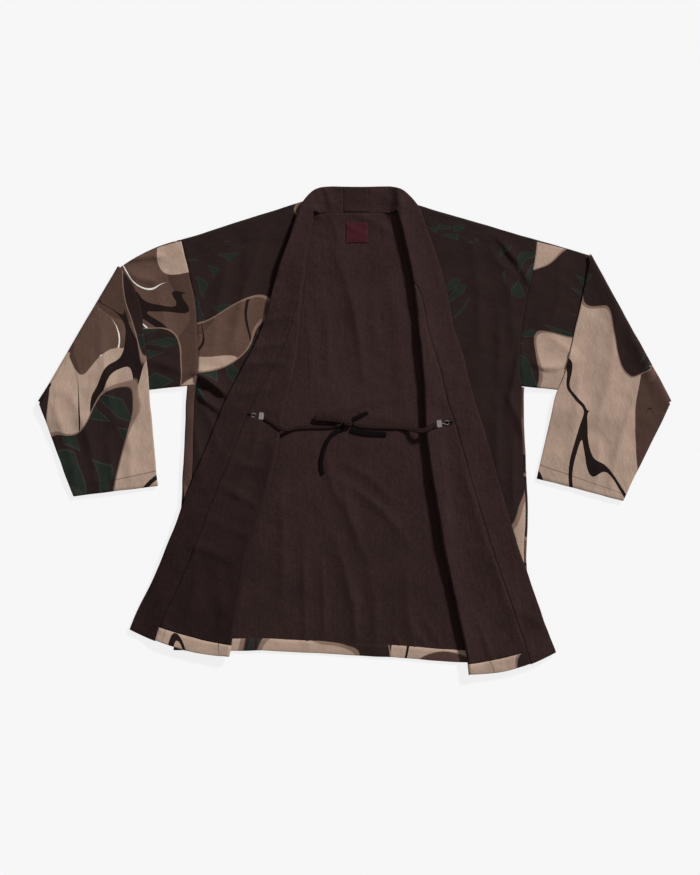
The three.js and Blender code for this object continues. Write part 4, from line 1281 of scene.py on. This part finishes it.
@dataclass
class Sleeve:
    """A wide sleeve, turned over across itself, open at armhole and cuff."""

    side: Side
    fold_top: tuple[float, float]
    fold_under: tuple[float, float]
    inner: list[tuple[float, float]]
    outer: list[tuple[float, float]]
    bow: float
    finish: bpy.types.Material

    ROWS_BEFORE: ClassVar[int] = 40
    ROWS_ROUND: ClassVar[int] = 11
    ROWS_PAST: ClassVar[int] = 58
    RUN_BEFORE: ClassVar[float] = 150.0
    RUN_ROUND: ClassVar[float] = 9.0
    ACROSS: ClassVar[int] = 62
    BEND: ClassVar[int] = 5

    @property
    def along(self) -> Array:
        """The way down the fold."""
        return unit(np.array(self.fold_under) - np.array(self.fold_top))

    @property
    def out(self) -> Array:
        """The way across the fold, away from the body."""
        top, under, sign = self.fold_top, self.fold_under, self.side.sign
        return unit(np.array([sign * (top[1] - under[1]), sign * (under[0] - top[0])]))

    @property
    def axis(self) -> Array:
        """Ends of the line that the sleeve is turned about."""
        return np.array([self.fold_top, self.fold_under]) - self.out * (ROLL + STACK)

    def rest(self, x: Array, y: Array) -> Array:
        """Height of what the turned-over part lies on."""
        under = self.side.front[ARMHOLE_STATIONS][4]
        k = np.clip((x - under) / (self.fold_under[0] - under), 0, 1)
        edge_y = mix(UNDERARM_Y[self.side.name], self.fold_under[1], k)
        return STACK * (1 - smooth((edge_y - y - 2 * SIDE_LIP) / SIDE_FALL))

    def before_fold(self, k: float, f: Array) -> Array:
        """Points, at fractions f of its length, of the row a share k of the way from armhole to fold."""
        axis = self.axis
        point = mix(polyline(self.side.armhole(), f), mix(axis[0], axis[1], f[..., None]), k)
        point[..., 0] += self.side.sign * GAP * (k == 0)
        point[..., 1] += self.bow * 4 * k * (1 - k) * (1 - f)
        return point

    def rows(self) -> list[SleeveRow]:
        """The rows from the armhole to the cuff."""
        found = []
        for k in np.linspace(0, 0.985, self.ROWS_BEFORE):
            height = float(mix(FRONT_TOP, STACK, smooth(np.array(k * 1.6))))
            line = partial(self.before_fold, float(k))
            found.append(SleeveRow(line, height, -1.0, 0.0, self.RUN_BEFORE * float(k)))
        axis = self.axis
        for k in np.linspace(0, 1, self.ROWS_ROUND):
            run = self.RUN_BEFORE + self.RUN_ROUND * float(k)
            found.append(SleeveRow(partial(straight, axis[0], axis[1]), STACK, float(k), 0.0, run))
        length = math.dist(self.outer[0], self.outer[1])
        inner = polyline(self.inner, np.linspace(0, 1, 60))
        for _ in range(3):
            inner[1:-1] = (inner[:-2] + 2 * inner[1:-1] + inner[2:]) / 4
        for k in np.linspace(0.03, 1, self.ROWS_PAST):
            line = partial(straight, polyline(inner, np.array(k)), polyline(self.outer, np.array(k)))
            run = self.RUN_BEFORE + self.RUN_ROUND + k * length
            found.append(SleeveRow(line, STACK, 2.0, k * length, run))
        return found

    def unfolded(self, xy: Array, far: Array, turn: float) -> Array:
        """Where a row's points are on the flat cloth.

        Args:
            xy: its points in plan, round the tube.
            far: its point at the tube's far edge.
            turn: how far the row is turned over.

        Returns:
            A pair for each point: along the fold, and across it.
        """
        start = self.axis[0]
        down = (xy - start) @ self.along
        back = 2 * float((far - start) @ self.along) - down
        across = (xy - start) @ self.out
        if turn >= 0:
            across = HALF_TURN * min(turn, 1.0) - across
        upper = np.arange(len(xy)) < self.ACROSS + self.BEND
        return np.column_stack([np.where(upper, down, back), across])

    def section(self, row: SleeveRow, face: int) -> tuple[Array, Array]:
        """The tube's cross section at a row.

        Args:
            row: the row.
            face: 0 for the outer face of the wall and 1 for the inner.

        Returns:
            Fractions of the row's length, and heights above the tube's middle.
        """
        half = row.height / 2
        radius = half - face * SHELL
        ends = row.line(np.array([0.0, 1.0]))
        length = float(np.linalg.norm(ends[1] - ends[0]))
        flat = mix(half, length - half, np.linspace(0, 1, self.ACROSS)) / length
        angle = np.pi * (0.5 - np.linspace(0, 1, self.BEND + 2)[1:-1])
        swing = radius * np.cos(angle)
        level = np.full(self.ACROSS, radius)
        fractions = np.concatenate([flat, (length - half + swing) / length, flat[::-1], (half - swing) / length])
        up = np.concatenate([level, radius * np.sin(angle), -level, -radius * np.sin(angle)])
        return fractions, up

    def laid(self, row: SleeveRow, face: int) -> tuple[Array, Array, Array, Array]:
        """Lays one row of one face.

        Args:
            row: the row.
            face: 0 for the outer face of the wall and 1 for the inner.

        Returns:
            Its points, how they ride on the front's and on the turned layer, and where they are on the cloth.
        """
        fractions, up = self.section(row, face)
        h = row.height / 2 + up
        plan = row.line(fractions)
        xy = plan
        lift = ROLL + STACK - h
        upper = np.clip(0.5 + up / row.height, 0, 1)
        if row.turn < 0:
            z, front, over = h, upper, 0 * h
        elif row.turn <= 1:
            xy = xy + self.out * (lift * math.sin(math.pi * row.turn))[:, None]
            z = STACK + ROLL - lift * math.cos(math.pi * row.turn)
            turned = smooth(np.array(row.turn))
            front = np.clip(mix(upper, 1.0, turned), 0, 1)
            over = turned * np.ones_like(h) * 0.6
        else:
            opening = mix(2 * ROLL, GAP, smooth(np.array(row.past / ROLL_RELAX)))
            rest = self.rest(xy[:, 0], xy[:, 1])
            z = rest + opening * (rest / STACK) + STACK - h
            front, over = np.ones_like(h), 0.6 + 0.4 * (1 - upper)
        return np.column_stack([xy, z]), front, over, self.unfolded(plan, row.line(np.array([1.0]))[0], row.turn)

    def make(self) -> Piece:
        """Builds the tube row by row."""
        rows = self.rows()
        faces = []
        for face in (0, 1):
            points, fronts, overs, plans = (np.array(part) for part in zip(*(self.laid(row, face) for row in rows)))
            from_cuff = np.array([rows[-1].run - row.run for row in rows])[:, None, None]
            cloth = np.concatenate([plans, from_cuff + 0 * plans[..., :1]], axis=-1)
            faces.append(Grid(points, fronts, overs, cloth))
        mesh = wall_mesh(f"sleeve_cloth_{self.side.name}", *faces, ring=True)
        return Piece(mesh, f"sleeve_{self.side.name}", "outer_cloth", self.finish)


@dataclass
class Label:
    """The small woven label sewn below the neck."""

    finish: bpy.types.Material
    size: tuple[float, float] = (36.0, 33.0)
    middle: tuple[float, float] = (3.0, 331.0)

    def make(self) -> Piece:
        """A soft square, lifted a touch between its stitched edges."""
        u = np.linspace(-1, 1, 25)
        a, b = np.meshgrid(u, u, indexing="ij")
        square = (1 - 0.02 * (np.abs(a * b) ** 8))
        x = self.middle[0] + b * self.size[0] / 2 * square
        y = self.middle[1] + a * self.size[1] / 2 * square
        puff = 0.5 * (1 - a**4) * (1 - b**4) + 0.15 * np.sin(a * 7 + b * 3)
        base = SHELL + LINING + 2 * GAP
        faces = []
        for k in (1, 0):
            grid = np.stack([x, y, base + k * 0.8 + puff], -1)
            nought = 0 * x
            cloth = np.stack([x - self.middle[0], y - self.middle[1], nought], -1)
            faces.append(Grid(grid, nought, nought, cloth))
        return Piece(wall_mesh("woven_label", *faces), "label", "label_cloth", self.finish)


# The cord, in millimetres
LYING = SHELL + LINING + 2 * GAP + 1.7
TIE_RIGHT = [
    (-150, 25, 11.2), (-144.5, 21.5, 11.4), (-138, 17.5, 12), (-132, 12.5, 13), (-126, 8, 13.9),
    (-119, 5.5, 12.6), (-112, 5.5, 9.4), (-104, 7, 6.6), (-94, 8, LYING + 0.5), (-80, 8.4, LYING),
    (-60, 9, LYING), (-42, 9.5, LYING), (-31, 11.5, LYING), (-21.5, 14, LYING + 1),
]
TIE_LEFT = [
    (-3, 14, LYING + 1.2), (8, 11, LYING + 0.2), (24, 9.3, LYING), (42, 8.6, LYING), (60, 8.3, LYING),
    (76, 7.5, LYING + 0.2), (88, 5.5, LYING + 2), (98, 3, 9.4), (107, 2, 12.6), (116, 3, 13.9),
    (124, 7.5, 14), (130, 10.5, 13.6), (135, 12.4, 13.2),
]
TAIL_RIGHT = [
    (-18.5, 6.5, LYING + 1.2), (-23, 4.5, LYING + 0.2), (-30, 1, LYING), (-38, -5, LYING), (-45, -14, LYING),
    (-50, -25, LYING), (-54, -37, LYING), (-56, -50, LYING), (-55, -62, LYING), (-52, -70, LYING),
]
TAIL_LEFT = [
    (-6.5, 5, LYING + 1), (0, 2.2, LYING + 0.4), (8, 0.2, LYING), (18, -1.8, LYING), (30, -3, LYING),
    (42, -3.8, LYING), (52, -4, LYING),
]
BOW_LOOP = [
    (-22, 18.5, 8.2), (-30, 20.5, 6.4), (-42, 22, 4.9), (-56, 23, 4.9), (-65, 23.4, 6.2),
    (-67.5, 23.4, 8.6), (-63, 23.2, 11), (-50, 22.4, 12), (-36, 21, 12.6), (-24, 19.2, 12.8),
]
STUB = [(-4, 21.5, 8), (2, 24.5, 7.2), (9, 27.5, 5.6), (16, 30.3, LYING), (21, 32, LYING)]
KNOT_CENTRE, KNOT_SIZE = (-12.5, 14.8, 8.6), (7.6, 6.6, 5.4)


@dataclass
class Route:
    """A smooth path through given points, laid over the creases."""

    points: Sequence

    def settled(self, step: float = 1.0) -> Array:
        """Points of the path in metres, about step millimetres apart."""
        rows = np.array(self.points, float)
        fine = spline(rows, np.linspace(0, len(rows) - 1, len(rows) * 24))
        gaps = np.linalg.norm(np.diff(fine, axis=0), axis=1).sum()
        even = polyline(fine, np.linspace(0, 1, max(8, int(gaps / step))))
        on_top = smooth((even[:, 2] - 5.5) / 5) * (np.abs(even[:, 0]) > 75)
        placed = Relief.settle(even, on_top, on_top)
        placed[:, 1] -= TABLE_OFFSET_Y
        return placed * MM


def length_of(path: Array) -> float:
    """Length of a path."""
    return float(np.linalg.norm(np.diff(path, axis=0), axis=1).sum())


def tape_mesh(name: str, path: Array, width: float, thick: float, twist: Twist) -> bpy.types.Object:
    """Sweeps a flat rounded section along a path.

    Args:
        name: the piece's name.
        path: its centreline, in metres.
        width: its width, in millimetres.
        thick: its thickness, in millimetres.
        twist: how far it is turned about itself at fractions of its length, in radians.

    Returns:
        The closed mesh.
    """
    count, sides = len(path), 20
    way = unit(np.gradient(path, axis=0))
    across = unit(np.cross(np.array([0, 0, 1.0]), way))
    up = np.cross(way, across)
    share = np.linspace(0, 1, count)
    turn = twist(share)[:, None]
    side, rise = across * np.cos(turn) + up * np.sin(turn), up * np.cos(turn) - across * np.sin(turn)
    angle = np.linspace(0, 2 * np.pi, sides, endpoint=False)
    round_x = np.sign(np.cos(angle)) * np.abs(np.cos(angle)) ** 0.75 * width / 2 * MM
    round_y = np.sign(np.sin(angle)) * np.abs(np.sin(angle)) ** 0.75 * thick / 2 * MM
    waver = 1 + 0.03 * np.sin(share * 37)[:, None, None] + 0.02 * np.sin(share * 91)[:, None, None]
    ring = path[:, None] + (side[:, None] * round_x[None, :, None] + rise[:, None] * round_y[None, :, None]) * waver
    ends = [path[0] - way[0] * 0.0004, path[-1] + way[-1] * 0.0004]
    points = np.concatenate([ring.reshape(-1, 3), ends])
    at = np.arange(count * sides).reshape(count, sides)
    after = np.roll(at, -1, axis=1)
    faces = [np.stack([at[:-1], after[:-1], after[1:], at[1:]], -1).reshape(-1, 4)]
    for row, tip, flip in ((0, count * sides, True), (count - 1, count * sides + 1, False)):
        fan = np.stack([at[row], after[row], np.full(sides, tip), np.full(sides, -1)], -1)
        faces.append(fan[:, [1, 0, 2, 3]] if flip else fan)
    run = np.concatenate([[0], np.cumsum(np.linalg.norm(np.diff(path, axis=0), axis=1))]) / MM
    cloth = np.stack([np.tile(round_x / MM, count), np.repeat(run, sides), np.zeros(count * sides)], -1)
    return make_mesh(name, points, np.concatenate(faces), np.concatenate([cloth, cloth[:1], cloth[-1:]]))


@dataclass
class TiedCord:
    """The flat cord tied across the fronts: two lengths, a half bow, and free ends."""

    brown: bpy.types.Material
    black: bpy.types.Material

    def make(self) -> None:
        """Builds every length."""
        brown, black = self.brown, self.black
        right = self._length("cord_right", "tie_right", TIE_RIGHT, (8, 3.0), brown, lambda s: 0.25 * np.sin(5 * s))
        left = self._length("cord_left", "tie_left", TIE_LEFT[::-1], (8, 3.0), brown, lambda s: 0.2 * np.sin(4 * s))
        # The free ends and the stub are the same cord, painted near black: painted shade where it turns away from
        # the light
        tail_r = self._length("cord_end_right", "tie_tail_right", TAIL_RIGHT, (7, 2.6), black, lambda s: 0.1 + 0 * s)
        tail_l = self._length("cord_end_left", "tie_tail_left", TAIL_LEFT, (9, 2.4), black, lambda s: 0.15 * s)
        bow, _ = self._length("bow", "tie_bow", BOW_LOOP, (9, 2.2), brown, lambda s: 0.12 * np.sin(9 * s))
        stub, _ = self._length("stub", "tie_stub", STUB, (6, 2.4), black, lambda s: 0.2 * s)
        knot = self._knot()
        rows = (
            (right, 0.008, "knot", [knot, bow, stub, "clasp_crimp_right", "clasp_hook_right"]),
            (left, 0.008, "knot", ["clasp_crimp_left", "clasp_hook_left"]),
            (tail_r, 0.007, "bare", []),
            (tail_l, 0.009, "bare", []),
        )
        for (mesh, path), width, end, others in rows:
            tuple(path[0])
            length_of(path)
            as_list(others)

    @staticmethod
    def _length(
        name: str, node: str, route: Sequence, section: tuple, finish: bpy.types.Material, twist: Twist
    ) -> tuple[bpy.types.Object, Array]:
        """Lays one length of the cord.

        Args:
            name: the piece's name.
            node: the node it stands for.
            route: the points it runs through.
            section: its width and thickness, in millimetres.
            finish: its material.
            twist: how far it is turned about itself at fractions of its length, in radians.

        Returns:
            The placed mesh and its path.
        """
        path = Route(route).settled()
        mesh = tape_mesh(name, path, *section, twist)
        Piece(mesh, node, "cord_braid", finish).place()
        return mesh, path

    def _knot(self) -> bpy.types.Object:
        """The knot: two crossing wraps of the flat cord round a small core."""
        centre = np.array(KNOT_CENTRE)
        size = np.array(KNOT_SIZE)
        u = np.linspace(0, 2 * np.pi, 64, endpoint=False)
        w = np.linspace(0.001, np.pi - 0.001, 40)
        a, b = np.meshgrid(u, w)
        fold = 0.1 * np.cos(3 * b + 1.6 * np.cos(a)) + 0.09 * np.sin(2 * a + 1.5 * b) + 0.05 * np.sin(5 * a)
        shape = np.stack([np.sin(b) * np.cos(a), np.sin(b) * np.sin(a), np.cos(b)], -1)
        soft = np.sign(shape) * np.abs(shape) ** 0.85 * (0.93 + fold)[..., None]
        points = soft * size + centre
        points = Relief.settle(points, 0 * a, 0 * a)
        points[..., 1] -= TABLE_OFFSET_Y
        rows, columns = a.shape
        at = np.arange(rows * columns).reshape(rows, columns)
        after = np.roll(at, -1, axis=1)
        faces = [np.stack([at[:-1], at[1:], after[1:], after[:-1]], -1).reshape(-1, 4)]
        tips = []
        flat = points.reshape(-1, 3) * MM
        for row, flip in ((0, False), (rows - 1, True)):
            tips.append(flat[at[row]].mean(0))
            fan = np.stack([at[row], after[row], np.full(columns, rows * columns + len(tips) - 1)], -1)
            fan = np.column_stack([fan, np.full(columns, -1)])
            faces.append(fan[:, [1, 0, 2, 3]] if flip else fan)
        cloth = np.stack([a * size[0], b * size[1], 0 * a], -1).reshape(-1, 3)
        points, cloth = np.concatenate([flat, tips]), np.concatenate([cloth, cloth[:2]])
        mesh = make_mesh("knot", points, np.concatenate(faces), cloth)
        return Piece(mesh, "tie_knot", "cord_braid", self.brown).place()


class Clasps:
    """The metal crimps and hooks, kept from the solids, and the thread loops they hold."""

    def finish(self, nickel: bpy.types.Material, braid: bpy.types.Material) -> None:
        """Gives the kept solids their finishes and a fine rounded edge."""
        for side in SIDES:
            for part in ("clasp_crimp", "clasp_hook"):
                self._dress(f"{part}_{side.name}", nickel, 0.0004 if part == "clasp_crimp" else 0.0)
            self._dress(f"thread_loop_{side.name}", braid, 0.0)

    @staticmethod
    def _dress(name: str, material: bpy.types.Material, edge: float) -> None:
        """Gives one kept solid its finish and, where edge isn't nought, edges rounded that far in metres."""
        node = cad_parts[name]
        for slot in node.material_slots:
            slot.material = material
        if edge:
            bevel = node.modifiers.new("rounded_edge", "BEVEL")
            bevel.width, bevel.segments, bevel.limit_method = edge, 3, "ANGLE"
        for polygon in node.data.polygons:
            polygon.use_smooth = True


class Studio:
    """Camera, floor and light: straight down, on a pale floor, lit softly from the upper right."""

    def camera(self) -> None:
        """A camera straight above, at the photo's scale."""
        data = bpy.data.cameras.new("camera")
        data.type = "ORTHO"
        data.ortho_scale = 1.4525
        camera = bpy.data.objects.new("camera", data)
        camera.location = (-0.0083, -0.0091 - TABLE_OFFSET_Y * MM, 2.0)
        bpy.context.scene.collection.objects.link(camera)
        bpy.context.scene.camera = camera

    def floor(self) -> None:
        """The plain pale surface the jacket lies on."""
        mesh = bpy.data.meshes.new("floor")
        corners = [(-4, -4, -0.0005), (4, -4, -0.0005), (4, 4, -0.0005), (-4, 4, -0.0005)]
        mesh.from_pydata(corners, [], [(0, 1, 2, 3)])
        floor = bpy.data.objects.new("floor", mesh)
        bpy.context.scene.collection.objects.link(floor)
        mesh.materials.append(PalePaper().material())

    def light(self) -> None:
        """A soft key from the upper right and an even surround, which together leave the floor near white."""
        data = bpy.data.lights.new("key", "SUN")
        data.energy, data.angle = 4.15, math.radians(7)
        key = bpy.data.objects.new("key", data)
        key.rotation_euler = (math.radians(-40), math.radians(45), 0)
        bpy.context.scene.collection.objects.link(key)
        world = bpy.data.worlds.new("surround")
        world.use_nodes = True
        back = world.node_tree.nodes["Background"]
        back.inputs["Color"].default_value = (1, 1, 1, 1)
        back.inputs["Strength"].default_value = 0.285
        bpy.context.scene.world = world
        bpy.context.scene.view_settings.view_transform = "Standard"


# Where each printed piece is cut from the length, and how it is printed there
CUTS = {
    "back": PrintedCotton("printed_cotton_back", (0.3, 0.2, 0.1), 0.0, 0.0, (0.68, 0.74), 0.028),
    "front_right": PrintedCotton(
        "printed_cotton_front_right", (2.75, 1.05, 0.8), -0.072, -0.05, (0.70, 0.76), 0.13
    ),
    "front_left": PrintedCotton(
        "printed_cotton_front_left", (2.9, 2.2, 0.6), -0.07, -0.02, (0.50, 0.60), 0.12
    ),
    "gusset_right": PrintedCotton("printed_cotton_gusset_right", (0.8, 3.1, 1.2), 0.0, -0.03),
    "gusset_left": PrintedCotton("printed_cotton_gusset_left", (1.4, 4.4, 1.5)),
    "sleeve_right": PrintedCotton("printed_cotton_sleeve_right", (3.4, 1.1, 2.3), 0.045, 0.06, line=0.005),
    "sleeve_left": PrintedCotton("printed_cotton_sleeve_left", (5.2, 1.9, 3.3), 0.06, 0.0, line=0.005),
}
# How each piece of plain cloth has worn; the wearer's right front and band also carry painted shade, darker overall
# and towards the hem, where the turned flap slopes away from the light
WEAR_AND_SHADE = {
    "back": SlubCotton("slub_cotton_back", 0.82, 0.82),
    # painted shade: the right front's lining is darker, and darker still towards the hem, where the flap slopes away
    # from the light
    "front_right": SlubCotton("slub_cotton_front_right", 0.74, 0.60, 0.08),
    "front_left": SlubCotton("slub_cotton_front_left", 0.81, 0.90),
    # painted shade: the right band is darker, and darker still towards the hem, as on the right front
    "band_right": SlubCotton("slub_cotton_band_right", 0.71, 0.60, 0.08),
    "band_left": SlubCotton("slub_cotton_band_left", 0.82, 0.90),
    "band_neck": SlubCotton("slub_cotton_band_neck", 0.66, 1.0, 0.2),
}


def make_sleeves(prints: dict[str, bpy.types.Material]) -> tuple[Sleeve, Sleeve]:
    """The two sleeves, each with the way it happens to be turned over.

    Args:
        prints: the printed finishes by piece.

    Returns:
        The wearer's right and left sleeves.
    """
    right = Sleeve(
        side=RIGHT,
        fold_top=(-393.5, 275.5),
        fold_under=(-526, 51.5),
        inner=[(-393.5, 275.5), (-367, 244), (-353.5, 202.5), (-348.5, 144.5), (-342, 70), (-327, -89.5)],
        outer=[(-526, 51.5), (-468, -106)],
        bow=6,
        finish=prints["sleeve_right"],
    )
    left = Sleeve(
        side=LEFT,
        fold_top=(392, 295.5),
        fold_under=(526, 51.5),
        inner=[
            (392, 295.5), (387, 267.5), (377, 219), (362, 154.5), (348.5, 98), (333.5, 64.5), (302, -76.5),
        ],
        outer=[(526, 51.5), (445, -114.5)],
        bow=0,
        finish=prints["sleeve_left"],
    )
    return right, left


def make_jacket() -> None:
    """Builds and finishes every piece, the cord first."""
    prints = {key: cut.material() for key, cut in CUTS.items()}
    plain = {key: wear.material() for key, wear in WEAR_AND_SHADE.items()}
    brown = BraidedCotton("braided_cotton_brown", "#34241f", "#1a100e").material()
    # A near-black copy of the braid: painted shade on the cord's free ends and stub; the thread loops take the same
    # finish
    black = BraidedCotton("braided_cotton_black_painted_shade", "#110b0a", "#060403").material()
    TiedCord(brown, black).make()
    back = Back(prints["back"], plain["back"])
    back.shell().lay("laid")
    back.lining().lay("laid", ["back_cloth"])
    band = CollarBand({name: plain[f"band_{name}"] for name in ("right", "left", "neck")})
    for side in SIDES:
        front = Front(side, prints[f"front_{side.name}"], plain[f"front_{side.name}"])
        below = f"front_cloth_{side.name}"
        front.shell().lay("folded", ["back_cloth"])
        front.lining().lay("folded", [below])
        Gusset(side, prints[f"gusset_{side.name}"]).make().lay("folded")
        band.long_band(side).lay("folded", [below])
    band.neck_band().lay("laid")
    for sleeve in make_sleeves(prints):
        sleeve.make().lay("folded")
    Label(SatinTape().material()).make().lay("laid", ["back_facing"])
    Clasps().finish(NickelPlate().material(), black)


def main() -> None:
    """Builds the scene."""
    logging.basicConfig(level=logging.INFO)
    studio = Studio()
    studio.camera()
    make_jacket()
    studio.floor()
    studio.light()


if __name__ == "__main__":
    main()
